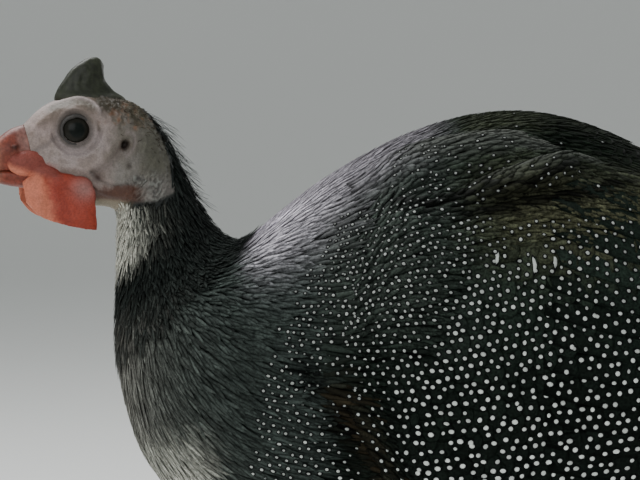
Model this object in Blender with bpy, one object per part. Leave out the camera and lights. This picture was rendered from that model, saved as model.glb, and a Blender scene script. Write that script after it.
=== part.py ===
"""A helmeted guinea fowl standing at rest with its neck drawn in, life size.

Metres, +Z up. The bird faces -X, its own left side is at -Y, and its head is turned
a little towards its left. The soles lie on the plane Z = 0, and the origin is on
that plane below the middle of the bird's box.

Head, neck and torso are one row of sections. Each section is a closed curve in a flat
plane between a point on the back line and a point on the belly line, and the nodes are
parted between two such planes. Everything that lies on the body is placed on it by
the same sections.
"""
import math
from collections import namedtuple

import bmesh
import bpy
from mathutils import Matrix, Vector

GAP = 0.0003
CLEARANCE = 0.00045
# Brings the middle of the bird's box over the origin.
FORWARD_SHIFT = 0.00167
LEFT, RIGHT = 1, -1
SIDES = {"left": LEFT, "right": RIGHT}

# One row for each section, from the base of the bill to the end of the tail's root.
# widest is the height of the widest place, 0 at the belly line and 1 at the back line.
# crown and keel are the powers of the curve above and below it: 2 is an ellipse.
Section = namedtuple("Section", "back_x back_z belly_x belly_z half_width widest crown keel")
SECTIONS = (
    Section(-0.2045, 0.3160, -0.1990, 0.2895, 0.0070, 0.50, 2.2, 2.0),
    Section(-0.1972, 0.3228, -0.1930, 0.2862, 0.0096, 0.56, 2.3, 1.8),
    Section(-0.1890, 0.3268, -0.1845, 0.2835, 0.0120, 0.60, 2.5, 1.7),
    Section(-0.1795, 0.3285, -0.1762, 0.2820, 0.0134, 0.60, 2.6, 1.7),
    Section(-0.1665, 0.3272, -0.1692, 0.2812, 0.0140, 0.56, 2.5, 1.8),
    Section(-0.1545, 0.3220, -0.1652, 0.2790, 0.0144, 0.52, 2.4, 1.9),
    Section(-0.1452, 0.3110, -0.1640, 0.2745, 0.0148, 0.50, 2.2, 2.0),
    Section(-0.1380, 0.2970, -0.1640, 0.2680, 0.0152, 0.50, 2.0, 2.0),
    Section(-0.1315, 0.2840, -0.1643, 0.2580, 0.0172, 0.50, 2.0, 2.0),
    Section(-0.1240, 0.2725, -0.1648, 0.2450, 0.0212, 0.50, 2.0, 2.0),
    Section(-0.1155, 0.2660, -0.1652, 0.2310, 0.0280, 0.50, 2.0, 2.0),
    Section(-0.1070, 0.2680, -0.1648, 0.2150, 0.0370, 0.50, 2.0, 2.0),
    Section(-0.0950, 0.2780, -0.1612, 0.1955, 0.0468, 0.49, 2.0, 2.1),
    Section(-0.0800, 0.2900, -0.1518, 0.1715, 0.0565, 0.48, 2.0, 2.1),
    Section(-0.0620, 0.3015, -0.1300, 0.1490, 0.0640, 0.47, 2.0, 2.2),
    Section(-0.0400, 0.3125, -0.0950, 0.1350, 0.0680, 0.46, 2.0, 2.2),
    Section(-0.0150, 0.3200, -0.0500, 0.1295, 0.0690, 0.46, 2.0, 2.2),
    Section(0.0100, 0.3215, -0.0050, 0.1295, 0.0680, 0.46, 2.0, 2.2),
    Section(0.0350, 0.3160, 0.0400, 0.1340, 0.0650, 0.47, 2.0, 2.1),
    Section(0.0620, 0.3040, 0.0800, 0.1440, 0.0590, 0.48, 2.0, 2.1),
    Section(0.0920, 0.2870, 0.1170, 0.1580, 0.0500, 0.49, 2.0, 2.0),
    Section(0.1220, 0.2675, 0.1470, 0.1740, 0.0385, 0.50, 2.0, 2.0),
    Section(0.1480, 0.2480, 0.1690, 0.1900, 0.0270, 0.50, 2.0, 2.0),
    Section(0.1700, 0.2300, 0.1830, 0.2020, 0.0170, 0.50, 2.0, 2.0),
)
FACE, HEAD_NECK, NECK_TORSO, TORSO_TAIL, TAIL_END = 0.0, 7.0, 11.0, 22.0, 23.0

# The head is turned about an upright line through the top of the neck.
HEAD_TURN = math.radians(12)
TURN_X = -0.150
TURN_FULL, TURN_NONE = 5.5, 10.0

EYE_X, EYE_Z = -0.1838, 0.3139
EYE_RADIUS, EYE_DEPTH = 0.0062, 0.0042
EYE_OUT = 0.0098
LID_RADIUS, LID_THICKNESS = 0.0061, 0.0011
LID_OUT, LID_TILT, LID_SQUEEZE = 0.0119, math.radians(6), 0.94
EAR_X, EAR_Z, EAR_RADIUS = -0.1626, 0.3080, 0.0024
EAR_OUT, EAR_RIM, EAR_SQUEEZE = 0.0134, 0.0011, 0.9
EAR_CUP_OUT, EAR_CUP_DEPTH = 0.0152, 0.0030
# The ridges of the bare head: x, z and how far out, then their radii.
JAW_FOLD = ((-0.1575, 0.2995, 0.0124), (-0.1650, 0.2945, 0.0126), (-0.1730, 0.2922, 0.0118),
            (-0.1810, 0.2925, 0.0108), (-0.1880, 0.2945, 0.0094))
JAW_FOLD_RADII = (0.0010, 0.0024, 0.0028, 0.0026, 0.0010)
BROW = ((-0.2015, 0.3130, 0.0048), (-0.1950, 0.3195, 0.0068), (-0.1890, 0.3228, 0.0086),
        (-0.1825, 0.3238, 0.0098), (-0.1755, 0.3220, 0.0106))
BROW_RADII = (0.0010, 0.0022, 0.0028, 0.0025, 0.0010)


def clear_scene():
    for old in list(bpy.data.objects):
        bpy.data.objects.remove(old)


def finish_of(name, colour, roughness, metallic=0.0):
    material = bpy.data.materials.get(name) or bpy.data.materials.new(name)
    material.use_nodes = True
    shader = material.node_tree.nodes["Principled BSDF"]
    shader.inputs["Base Color"].default_value = (*colour, 1.0)
    shader.inputs["Roughness"].default_value = roughness
    shader.inputs["Metallic"].default_value = metallic
    return material


def make_finishes():
    return {
        "face": finish_of("bare_face_skin", (0.46, 0.42, 0.43), 0.6),
        "casque": finish_of("casque_horn", (0.055, 0.042, 0.034), 0.45),
        "bill": finish_of("bill_horn", (0.36, 0.085, 0.065), 0.45),
        "wattle": finish_of("wattle_skin", (0.50, 0.07, 0.05), 0.5),
        "eye": finish_of("eye", (0.012, 0.010, 0.009), 0.08),
        "neck": finish_of("neck_plumage", (0.022, 0.024, 0.026), 0.85),
        "body": finish_of("pearl_plumage", (0.045, 0.045, 0.050), 0.8),
        "flight": finish_of("flight_plumage", (0.040, 0.037, 0.036), 0.75),
        "leg": finish_of("leg_skin", (0.085, 0.075, 0.068), 0.55),
        "claw": finish_of("claw_horn", (0.035, 0.029, 0.025), 0.4),
    }


def mixed(a, b, share):
    return a + (b - a) * share


def eased(share):
    share = min(max(share, 0.0), 1.0)
    return share * share * (3 - 2 * share)


def along(points, share):
    """A smooth curve through evenly spaced points or numbers, share 0 to 1."""
    place = min(max(share, 0.0), 1.0) * (len(points) - 1)
    i = min(int(place), len(points) - 2)
    t = place - i
    b, c = points[i], points[i + 1]
    a = points[i - 1] if i > 0 else b * 2 - c
    d = points[i + 2] if i + 2 < len(points) else c * 2 - b
    return (b * 2 + (c - a) * t + (a * 2 - b * 5 + c * 4 - d) * t**2 + (b * 3 - a - c * 3 + d) * t**3) * 0.5


COLUMNS = [list(column) for column in zip(*SECTIONS)]


def section_at(s):
    return Section(*(along(column, s / (len(SECTIONS) - 1)) for column in COLUMNS))


def turned(point, share=1.0):
    """The point as the head's turn carries it, in full or in part."""
    pivot = Vector((TURN_X, 0, 0))
    return Matrix.Rotation(HEAD_TURN * share, 3, "Z") @ (point - pivot) + pivot


def turn_share(s):
    return 1 - eased((s - TURN_FULL) / (TURN_NONE - TURN_FULL))


def section_axes(s):
    """The section's belly point, its direction up to the back and its height."""
    at = section_at(s)
    belly = Vector((at.belly_x, 0, at.belly_z))
    rise = Vector((at.back_x, 0, at.back_z)) - belly
    return at, belly, rise.normalized(), rise.length


def section_point(s, angle, swell=0.0):
    """A point of the body's surface: angle 0 on the back, a quarter turn on the left side."""
    at, belly, up, height = section_axes(s)
    upward, outward = math.cos(angle), math.sin(angle)
    power = at.crown if upward >= 0 else at.keel
    reach = (1 - at.widest if upward >= 0 else at.widest) * height + swell
    rise = math.copysign(abs(upward) ** (2 / power), upward) * reach
    out = math.copysign(abs(outward) ** (2 / power), outward) * (at.half_width + swell)
    point = belly + up * (at.widest * height + rise) + Vector((0, -out, 0))
    return turned(point, turn_share(s))


def section_ring(s, count, swell=0.0, shift=0.0):
    """The closed curve of a section, moved along the body by shift."""
    up = section_axes(s)[2]
    tailward = turned(Vector((up.z + TURN_X, 0, -up.x)), turn_share(s)) - Vector((TURN_X, 0, 0))
    return [section_point(s, 2 * math.pi * k / count, swell) + tailward * shift for k in range(count)]


def section_under(x, z):
    """The section through a place on the body's side, and how high on it that place is."""
    place = Vector((x, 0, z))
    low, high = HEAD_NECK, TAIL_END
    for _ in range(30):
        s = (low + high) / 2
        at, belly, up, height = section_axes(s)
        if (place - belly).dot(Vector((up.z, 0, -up.x))) > 0:
            low = s
        else:
            high = s
    return at, (place - belly).dot(up) / height


def flank_depth(x, z):
    """How far out the body's side is at a place in side view."""
    at, share = section_under(x, z)
    if share > at.widest:
        off, power = (share - at.widest) / (1 - at.widest), at.crown
    else:
        off, power = (at.widest - share) / at.widest, at.keel
    off = min(max(off, 0.0), 0.985)
    return at.half_width * (1 - off**power) ** (1 / power)


def flank(x, z, side, lift=0.0):
    """A point on the body's side at a place in side view, lifted off the surface."""
    step = 0.002
    y = flank_depth(x, z)
    slope_x = (flank_depth(x + step, z) - flank_depth(x - step, z)) / (2 * step)
    slope_z = (flank_depth(x, z + step) - flank_depth(x, z - step)) / (2 * step)
    outward = Vector((-slope_x, 1, -slope_z)).normalized()
    point = Vector((x, y, z)) + outward * lift
    return Vector((point.x, -side * point.y, point.z))


def mesh_object(name, points, faces, finish):
    mesh = bpy.data.meshes.new(name)
    mesh.from_pydata([tuple(p) for p in points], [], faces)
    shape = bpy.data.objects.new(name, mesh)
    bpy.context.scene.collection.objects.link(shape)
    outwards(mesh)
    mesh.materials.append(finish)
    mesh.shade_smooth()
    return shape


def outwards(mesh):
    bm = bmesh.new()
    bm.from_mesh(mesh)
    bmesh.ops.recalc_face_normals(bm, faces=bm.faces)
    if bm.calc_volume(signed=True) < 0:
        bmesh.ops.reverse_faces(bm, faces=bm.faces)
    bm.to_mesh(mesh)
    bm.free()


def loft(name, rings, finish):
    """A closed skin over rings of equal counts, with a flat cap at each end."""
    count = len(rings[0])
    points = [p for ring in rings for p in ring]
    faces = []
    for r in range(len(rings) - 1):
        for k in range(count):
            a, b = r * count + k, r * count + (k + 1) % count
            faces.append((a, b, b + count))
            faces.append((a, b + count, a + count))
    faces.append(tuple(range(count)))
    last = (len(rings) - 1) * count
    faces.append(tuple(last + k for k in reversed(range(count))))
    return mesh_object(name, points, faces, finish)


def oval(name, centre, radii, finish, segments=16, rings=10, turn=None):
    """An ellipsoid with its poles on its own Y, turned if wanted."""
    bm = bmesh.new()
    bmesh.ops.create_uvsphere(bm, u_segments=segments, v_segments=rings, radius=1)
    placed = Matrix.Translation(centre) @ (turn or Matrix()) @ Matrix.Diagonal((*radii, 1))
    bmesh.ops.transform(bm, matrix=placed @ Matrix.Rotation(math.pi / 2, 4, "X"), verts=bm.verts)
    mesh = bpy.data.meshes.new(name)
    bm.to_mesh(mesh)
    bm.free()
    shape = bpy.data.objects.new(name, mesh)
    bpy.context.scene.collection.objects.link(shape)
    outwards(mesh)
    mesh.materials.append(finish)
    mesh.shade_smooth()
    return shape


def hoop(name, centre, facing, major, minor, finish, squeeze=1.0, segments=18, sides=6):
    """A ring of round section, such as an eyelid, round the facing direction."""
    turn = facing.to_track_quat("Z", "Y").to_matrix()
    rings = []
    for i in range(segments):
        a = 2 * math.pi * i / segments
        outward = Vector((math.cos(a), math.sin(a), 0))
        middle = Vector((outward.x * major, outward.y * major * squeeze, 0))
        ring = []
        for j in range(sides):
            b = 2 * math.pi * j / sides
            round_it = outward * minor * math.cos(b) + Vector((0, 0, minor * math.sin(b)))
            ring.append(centre + turn @ (middle + round_it))
        rings.append(ring)
    points = [p for ring in rings for p in ring]
    faces = []
    for i in range(segments):
        for j in range(sides):
            a, b = i * sides + j, i * sides + (j + 1) % sides
            c, d = (i + 1) % segments * sides + j, (i + 1) % segments * sides + (j + 1) % sides
            faces.append((a, b, d, c))
    return mesh_object(name, points, faces, finish)


def apply_boolean(shape, operation, other=None, pieces=None, solver="EXACT"):
    """Joins or cuts the shape for good and drops what it was joined to or cut by."""
    cut = shape.modifiers.new(operation, "BOOLEAN")
    cut.operation = operation
    cut.solver = solver
    if pieces is None:
        cut.object = other
        used = [other]
    else:
        group = bpy.data.collections.new(shape.name + "_pieces")
        for piece in pieces:
            group.objects.link(piece)
        cut.operand_type = "COLLECTION"
        cut.collection = group
        used = list(pieces)
    bpy.context.view_layer.update()
    graph = bpy.context.evaluated_depsgraph_get()
    made = bpy.data.meshes.new_from_object(shape.evaluated_get(graph))
    shape.modifiers.clear()
    shape.data = made
    for piece in used:
        bpy.data.objects.remove(piece)
    return shape


def joined(shape, pieces, solver="EXACT"):
    return apply_boolean(shape, "UNION", pieces=pieces, solver=solver)


def cut_by(shape, *cutters):
    for cutter in cutters:
        apply_boolean(shape, "DIFFERENCE", other=cutter)
    return shape


def keep_largest(shape):
    """Leaves the largest closed surface of a shape."""
    bm = bmesh.new()
    bm.from_mesh(shape.data)
    bmesh.ops.triangulate(bm, faces=bm.faces)
    left, islands = set(bm.faces), []
    while left:
        island, edge = set(), [left.pop()]
        while edge:
            face = edge.pop()
            island.add(face)
            for line in face.edges:
                for other in line.link_faces:
                    if other in left:
                        left.discard(other)
                        edge.append(other)
        islands.append(island)

    def volume(island):
        return sum(f.verts[0].co.dot(f.verts[1].co.cross(f.verts[2].co)) / 6 for f in island)

    islands.sort(key=volume)
    loose = [face for island in islands[:-1] for face in island]
    bmesh.ops.delete(bm, geom=loose, context="FACES")
    bm.to_mesh(shape.data)
    bm.free()
    shape.data.shade_smooth()
    return shape


HEAD_SIDES, NECK_SIDES, TORSO_SIDES = 24, 24, 28
HEAD_STEPS, NECK_STEPS, TORSO_STEPS = 15, 7, 18


def body_loft(name, first, last, steps, sides, finish, swell=0.0, open_gap=True):
    """The stretch of the body between two sections, half a gap short at each end."""
    half = GAP / 2 if open_gap else -CLEARANCE
    rings = []
    for i in range(steps + 1):
        s = mixed(first, last, i / steps)
        shift = half if i == 0 else -half if i == steps else 0.0
        rings.append(section_ring(s, sides, swell, shift))
    return loft(name, rings, finish)


def swollen_head():
    skin = FINISHES["face"]
    return body_loft("head_cutter", FACE, HEAD_NECK, HEAD_STEPS, HEAD_SIDES, skin, CLEARANCE, False)


def swollen_torso():
    coat = FINISHES["body"]
    sides = TORSO_SIDES
    return body_loft("torso_cutter", NECK_TORSO, TORSO_TAIL, TORSO_STEPS, sides, coat, CLEARANCE, False)


def head_side(x, z, side, out):
    """A point at the side of the turned head."""
    return turned(Vector((x, -side * out, z)))


def outward_of(side):
    return turned(Vector((TURN_X, -side, 0))) - turned(Vector((TURN_X, 0, 0)))


def make_head():
    """Bare head with raised lids, ear rims and a fold along the jaw, and sockets for the eyes."""
    skin = FINISHES["face"]
    head = body_loft("head", FACE, HEAD_NECK, HEAD_STEPS, HEAD_SIDES, skin)
    turn = Matrix.Rotation(HEAD_TURN, 4, "Z")
    folds, hollows = [], []
    for side in (LEFT, RIGHT):
        facing = outward_of(side)
        lid_at = head_side(EYE_X, EYE_Z, side, LID_OUT)
        tilted = Matrix.Rotation(-LID_TILT * side, 3, "Z") @ facing
        folds.append(hoop("lid", lid_at, tilted, LID_RADIUS, LID_THICKNESS, skin, LID_SQUEEZE))
        ear_at = head_side(EAR_X, EAR_Z, side, EAR_OUT)
        rim_radius = EAR_RADIUS + 0.7 * EAR_RIM
        folds.append(hoop("ear_rim", ear_at, facing, rim_radius, EAR_RIM, skin, EAR_SQUEEZE, 12, 5))
        socket_at = head_side(EYE_X, EYE_Z, side, EYE_OUT)
        socket_size = (EYE_RADIUS + GAP, EYE_DEPTH + GAP, EYE_RADIUS + GAP)
        hollows.append(oval("eye_socket", socket_at, socket_size, skin, 16, 10, turn))
        cup_at = head_side(EAR_X, EAR_Z, side, EAR_CUP_OUT)
        cup_size = (EAR_RADIUS, EAR_CUP_DEPTH, EAR_RADIUS)
        hollows.append(oval("ear_cup", cup_at, cup_size, skin, 10, 6, turn))
        folds.append(jaw_fold(side))
        folds.append(brow(side))
    joined(head, folds)
    cut_by(head, *hollows)
    return keep_largest(head)


def tube(name, points, radii, finish, sides=10, flat=1.0):
    """A round bar along points, with its ends square to its way. flat narrows it in Y."""
    rings = []
    for i, point in enumerate(points):
        way = points[min(i + 1, len(points) - 1)] - points[max(i - 1, 0)]
        turn = way.to_track_quat("Z", "Y").to_matrix()
        rings.append([
            point + turn @ Vector((math.cos(a) * radii[i] * flat, math.sin(a) * radii[i], 0))
            for a in (2 * math.pi * k / sides for k in range(sides))
        ])
    return loft(name, rings, finish)


def jaw_fold(side, swell=0.0):
    """The low fold of skin that runs from below the ear to the corner of the mouth."""
    points = [head_side(x, z, side, out) for x, z, out in JAW_FOLD]
    radii = [radius + swell for radius in JAW_FOLD_RADII]
    return tube("jaw_fold", points, radii, FINISHES["face"], 8)


def brow(side):
    """The straight ridge from the nostril up to the casque that shades the eye."""
    points = [head_side(x, z, side, out) for x, z, out in BROW]
    return tube("brow", points, BROW_RADII, FINISHES["face"], 8)


def make_eyes():
    for label, side in SIDES.items():
        oval("eye_" + label, head_side(EYE_X, EYE_Z, side, EYE_OUT), (EYE_RADIUS, EYE_DEPTH, EYE_RADIUS),
             FINISHES["eye"], 16, 10, Matrix.Rotation(HEAD_TURN, 4, "Z"))


# The casque, level by level from inside the crown: height, front edge, rear edge, half thickness.
CASQUE = (
    (0.3210, -0.1905, -0.1600, 0.0040),
    (0.3268, -0.1915, -0.1618, 0.0047),
    (0.3300, -0.1903, -0.1664, 0.0045),
    (0.3340, -0.1880, -0.1695, 0.0041),
    (0.3378, -0.1852, -0.1706, 0.0036),
    (0.3408, -0.1822, -0.1708, 0.0030),
    (0.3430, -0.1788, -0.1717, 0.0022),
    (0.3441, -0.1766, -0.1732, 0.0011),
)


def make_casque():
    """The bony fin on the crown: sloped in front, hooked behind, narrower towards its top."""
    rings, count, levels = [], 16, 12
    for i in range(levels):
        z, front, rear, half = (along(column, i / (levels - 1)) for column in zip(*CASQUE))
        ring = []
        for k in range(count):
            a = 2 * math.pi * k / count
            x = (front + rear) / 2 - math.cos(a) * (rear - front) / 2
            y = math.copysign(abs(math.sin(a)) ** 0.8, math.sin(a)) * half
            ring.append(turned(Vector((x, y, z))))
        rings.append(ring)
    casque = loft("casque", rings, FINISHES["casque"])
    return keep_largest(cut_by(casque, swollen_head()))


# The bill, section by section from the face: culmen, then mouth line, as x and z, and half width.
UPPER_BILL = (
    (-0.2045, 0.3160, -0.20035, 0.2960, 0.0068),
    (-0.2098, 0.3142, -0.2070, 0.2964, 0.0064),
    (-0.2150, 0.3104, -0.2135, 0.2968, 0.0054),
    (-0.2198, 0.3056, -0.2190, 0.2960, 0.0042),
    (-0.2238, 0.3000, -0.2232, 0.2938, 0.0028),
    (-0.2268, 0.2948, -0.2262, 0.2914, 0.0014),
)
LOWER_BILL = (
    (-0.20028, 0.2957, -0.1990, 0.2895, 0.0066),
    (-0.2070, 0.2961, -0.2058, 0.2898, 0.0060),
    (-0.2128, 0.2964, -0.2118, 0.2908, 0.0048),
    (-0.2180, 0.2957, -0.2172, 0.2922, 0.0032),
    (-0.2212, 0.2944, -0.2208, 0.2930, 0.0014),
)


# The nostril's place and size, and how far it tips down at the front.
NOSTRIL, NOSTRIL_OUT = (-0.2088, 0.3068), 0.0066
NOSTRIL_SIZE, NOSTRIL_TILT = (0.0022, 0.0016, 0.0011), 0.5
# How far the shape that trims the wattle reaches back into the face.
BILL_OVERLAP = 0.001


def bill_rings(rows, steps, power_top, power_low, face_shift):
    """Rings round a half of the bill, from the face to its point."""
    columns, rings, count = list(zip(*rows)), [], 16
    for i in range(steps + 1):
        top_x, top_z, low_x, low_z, half = (along(column, i / steps) for column in columns)
        low = Vector((low_x, 0, low_z))
        rise = Vector((top_x, 0, top_z)) - low
        ring = []
        for k in range(count):
            a = 2 * math.pi * k / count
            up, out = math.cos(a), math.sin(a)
            power = power_top if up >= 0 else power_low
            height = math.copysign(abs(up) ** (2 / power), up)
            width = math.copysign(abs(out) ** (2 / power), out)
            ring.append(low + rise * (0.5 + 0.5 * height) + Vector((0, -width * half, 0)))
        if i == 0:
            ring = [p + Vector((face_shift, 0, 0)) for p in ring]
        rings.append([turned(p) for p in ring])
    return rings


def make_bill():
    """Arched upper half with its nostrils over a slimmer lower half: their gap is the mouth."""
    upper = loft("upper_bill", bill_rings(UPPER_BILL, 10, 2.0, 4.0, -GAP), FINISHES["bill"])
    for side in (LEFT, RIGHT):
        turn = Matrix.Rotation(HEAD_TURN, 4, "Z") @ Matrix.Rotation(NOSTRIL_TILT, 4, "Y")
        nostril_at = head_side(*NOSTRIL, side, NOSTRIL_OUT)
        cut_by(upper, oval("nostril", nostril_at, NOSTRIL_SIZE, FINISHES["bill"], 10, 8, turn))
    keep_largest(upper)
    loft("lower_bill", bill_rings(LOWER_BILL, 8, 4.0, 2.0, -GAP), FINISHES["bill"])


# The wattle's upper and lower edges from front to rear: x, z and how far out it hangs.
WATTLE_TOP = ((-0.2062, 0.2925, 0.0074), (-0.2010, 0.2952, 0.0086), (-0.1935, 0.2925, 0.0106),
              (-0.1850, 0.2900, 0.0118), (-0.1765, 0.2880, 0.0122))
WATTLE_LOW = ((-0.2048, 0.2838, 0.0098), (-0.1992, 0.2782, 0.0128), (-0.1905, 0.2750, 0.0152),
              (-0.1830, 0.2732, 0.0160), (-0.1760, 0.2722, 0.0150))
WATTLE_HALF = 0.0011
# The two bulbs at the wattle's root: x, z and how far out, then their radii.
LOBE, LOBE_SIZE = (-0.2020, 0.3002, 0.0060), (0.0066, 0.0034, 0.0042)
CORNER, CORNER_SIZE = (-0.1990, 0.2950, 0.0076), (0.0054, 0.0028, 0.0032)


def wattle_point(u, v, side, off):
    top = [Vector(p) for p in WATTLE_TOP]
    low = [Vector(p) for p in WATTLE_LOW]
    x, z, out = along(top, u).lerp(along(low, u), v)
    out += 0.0014 * math.sin(2.6 * math.pi * u) * v + 0.0012 * math.sin(math.pi * v)
    return head_side(x, z, side, out + off)


def sheet_loft(name, surface, across, down, finish):
    """A closed plate between two grids of a surface that takes u, v and which face."""
    points, faces = [], []
    for face in (1, -1):
        points += [surface(i / across, j / down, face) for i in range(across + 1) for j in range(down + 1)]
    layer = (across + 1) * (down + 1)

    def at(i, j, face):
        return i * (down + 1) + j + (0 if face > 0 else layer)

    for face in (1, -1):
        for i in range(across):
            for j in range(down):
                a, b = at(i, j, face), at(i + 1, j, face)
                c, d = at(i + 1, j + 1, face), at(i, j + 1, face)
                faces += [(a, b, c), (a, c, d)] if face > 0 else [(a, c, b), (a, d, c)]
    rim = [(i, 0) for i in range(across)] + [(across, j) for j in range(down)]
    rim += [(i, down) for i in range(across, 0, -1)] + [(0, j) for j in range(down, 0, -1)]
    for (i, j), (k, m) in zip(rim, rim[1:] + rim[:1]):
        faces.append((at(i, j, 1), at(i, j, -1), at(k, m, -1), at(k, m, 1)))
    return mesh_object(name, points, faces, finish)


def wattle_sheet(side):
    """The wattle's two faces as a surface, thinner towards its front and rear edges."""
    def surface(u, v, face):
        half = WATTLE_HALF * (0.55 + 0.45 * math.sin(math.pi * min(u * 1.2 + 0.1, 1)))
        return wattle_point(u, v, side, face * half)

    return surface


def make_wattles():
    """The red flap that hangs from each corner of the mouth, with the bulbs at its root."""
    skin = FINISHES["wattle"]
    turn = Matrix.Rotation(HEAD_TURN, 4, "Z")
    for label, side in SIDES.items():
        wattle = sheet_loft("wattle_" + label, wattle_sheet(side), 9, 5, skin)
        lobe = oval("lobe", head_side(*LOBE[:2], side, LOBE[2]), LOBE_SIZE, skin, 12, 8, turn)
        corner = oval("corner", head_side(*CORNER[:2], side, CORNER[2]), CORNER_SIZE, skin, 10, 6, turn)
        joined(wattle, [lobe, corner])
        cut_by(wattle, swollen_head(), jaw_fold(side, CLEARANCE))
        for rows, steps, top, low in ((UPPER_BILL, 10, 2.0, 4.0), (LOWER_BILL, 8, 4.0, 2.0)):
            rings = bill_rings(grown(rows), steps, top, low, BILL_OVERLAP)
            cut_by(wattle, loft("bill_cutter", rings, FINISHES["bill"]))
        keep_largest(wattle)


def grown(rows):
    """The rows of the bill with a clearance added all round."""
    c = CLEARANCE
    return tuple((tx, tz + c, lx, lz - c, half + c) for tx, tz, lx, lz, half in rows)


def make_neck():
    body_loft("neck", HEAD_NECK, NECK_TORSO, NECK_STEPS, NECK_SIDES, FINISHES["neck"])


def make_torso():
    body_loft("torso", NECK_TORSO, TORSO_TAIL, TORSO_STEPS, TORSO_SIDES, FINISHES["body"])


# A feather's outline: how far along, and how wide there as a share of its widest.
VANE_OUTLINE = ((0.0, 0.60), (0.35, 0.95), (0.68, 1.0), (0.88, 0.78), (1.0, 0.34))


def vane(name, place, half_width, top, bed, finish):
    """A feather's blade. place gives a point, top and bed the heights of its two faces."""
    steps = len(VANE_OUTLINE) - 1

    def surface(u, v, face):
        t, width = VANE_OUTLINE[round(u * steps)]
        across = (2 * v - 1) * width * half_width
        return place(t, across, top(t, across) if face > 0 else bed(t, across))

    return sheet_loft(name, surface, steps, 1, finish)


def flank_line(root, tip, side, droop=0.0):
    """A place function for a vane that lies on the body's side, root to tip in side view."""
    root, tip = Vector(root), Vector(tip)
    way = (tip - root).normalized()
    across_way = Vector((-way.y, way.x))

    def place(t, across, lift):
        point = root.lerp(tip, t) + across_way * across - Vector((0, droop * math.sin(math.pi * t)))
        return flank(point.x, point.y, side, lift)

    return place


# The wing's upper and lower edges in side view, evenly spaced from the bend to the tip.
WING_TOP = ((-0.070, 0.270), (-0.038, 0.299), (0.008, 0.304),
            (0.054, 0.290), (0.098, 0.264), (0.138, 0.232))
WING_LOW = ((-0.047, 0.165), (-0.024, 0.158), (0.014, 0.1545),
            (0.060, 0.159), (0.104, 0.1785), (0.140, 0.204))
WING_THICKNESS, WING_BED, WING_BULGE = 0.0050, -0.004, 0.013

# Each tier of the wing: count, first root, last root, first tip, last tip, half width, the
# height of its tips off the body and how far the blades bow downwards.
Tier = namedtuple("Tier", "count root_a root_b tip_a tip_b half_width height droop")
WING_TIERS = (
    Tier(3, (0.064, 0.178), (0.076, 0.204), (0.132, 0.187), (0.152, 0.210), 0.0095, 0.0036, 0.0),
    Tier(7, (-0.038, 0.178), (-0.004, 0.266), (0.074, 0.160), (0.136, 0.230), 0.0135, 0.0060, 0.003),
    Tier(7, (-0.058, 0.198), (-0.026, 0.280), (0.008, 0.161), (0.066, 0.256), 0.0130, 0.0076, 0.002),
    Tier(6, (-0.066, 0.212), (-0.055, 0.272), (-0.030, 0.172), (0.010, 0.262), 0.0122, 0.0088, 0.001),
    Tier(3, (-0.066, 0.264), (-0.036, 0.291), (0.018, 0.260), (0.062, 0.281), 0.0105, 0.0096, -0.003),
)
VANE_ROOT_HEIGHT, VANE_BED = 0.0008, -0.0015
# How much lower each blade is than the one above it, and the last than the first.
VANE_STEP, TIER_FALL = 0.0011, 0.0012


def wing_shield(side):
    """The wing's plate as a surface, thickest in front and along its middle."""
    top, low = [Vector(p) for p in WING_TOP], [Vector(p) for p in WING_LOW]

    def surface(u, v, face):
        place = along(top, u).lerp(along(low, u), v)
        place.x -= WING_BULGE * math.sin(math.pi * v) * (1 - u)
        swell = math.sin(math.pi * min(max(v, 0.05), 0.95)) ** 0.5
        swell *= (1 - 0.62 * u) * min(1, 0.35 + 5 * u)
        return flank(place.x, place.y, side, WING_THICKNESS * swell if face > 0 else WING_BED)

    return surface


def make_wings():
    """Folded wings: a shield over the body's side under tiers of flight feathers and coverts."""
    for label, side in SIDES.items():
        wing = sheet_loft("wing_" + label, wing_shield(side), 10, 7, FINISHES["flight"])
        vanes = [blade for number in range(len(WING_TIERS)) for blade in tier_vanes(number, side)]
        joined(wing, vanes)
        cut_by(wing, swollen_torso())
        keep_largest(wing)


def sloping(height, fall):
    """A height rule for a blade: rises from its root to its tip and falls across it."""
    def top(t, across):
        return mixed(VANE_ROOT_HEIGHT, height, t**0.5) - fall * across

    return top


def level(height):
    """A height rule for a face that stays at one height."""
    def top(_, __):
        return height

    return top


def tier_vanes(number, side):
    """One tier of a wing: every blade lies over the lower one beside it."""
    tier = WING_TIERS[number]
    gauge = (Vector(tier.tip_b) - Vector(tier.tip_a)).length / (tier.count - 1)
    vanes = []
    for i in range(tier.count):
        share = i / (tier.count - 1)
        root = Vector(tier.root_a).lerp(Vector(tier.root_b), share)
        tip = Vector(tier.tip_a).lerp(Vector(tier.tip_b), share)
        top = sloping(tier.height - TIER_FALL * share, VANE_STEP / gauge)
        place = flank_line(root, tip, side, tier.droop)
        name = f"vane_{number}_{i}"
        vanes.append(vane(name, place, tier.half_width, top, level(VANE_BED), FINISHES["flight"]))
    return vanes


TAIL_ROOT = Vector((0.158, 0, 0.219))
TAIL_WAY = Vector((0.80, 0, -0.60)).normalized()
TAIL_UP = Vector((0.60, 0, 0.80)).normalized()
# How far the outer feathers sag, how steeply the fan is roofed, and its root's half width.
TAIL_SAG, TAIL_ROOF, TAIL_ROOT_HALF, TAIL_CURL = 0.35, 1.3, 0.016, 0.006


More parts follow.
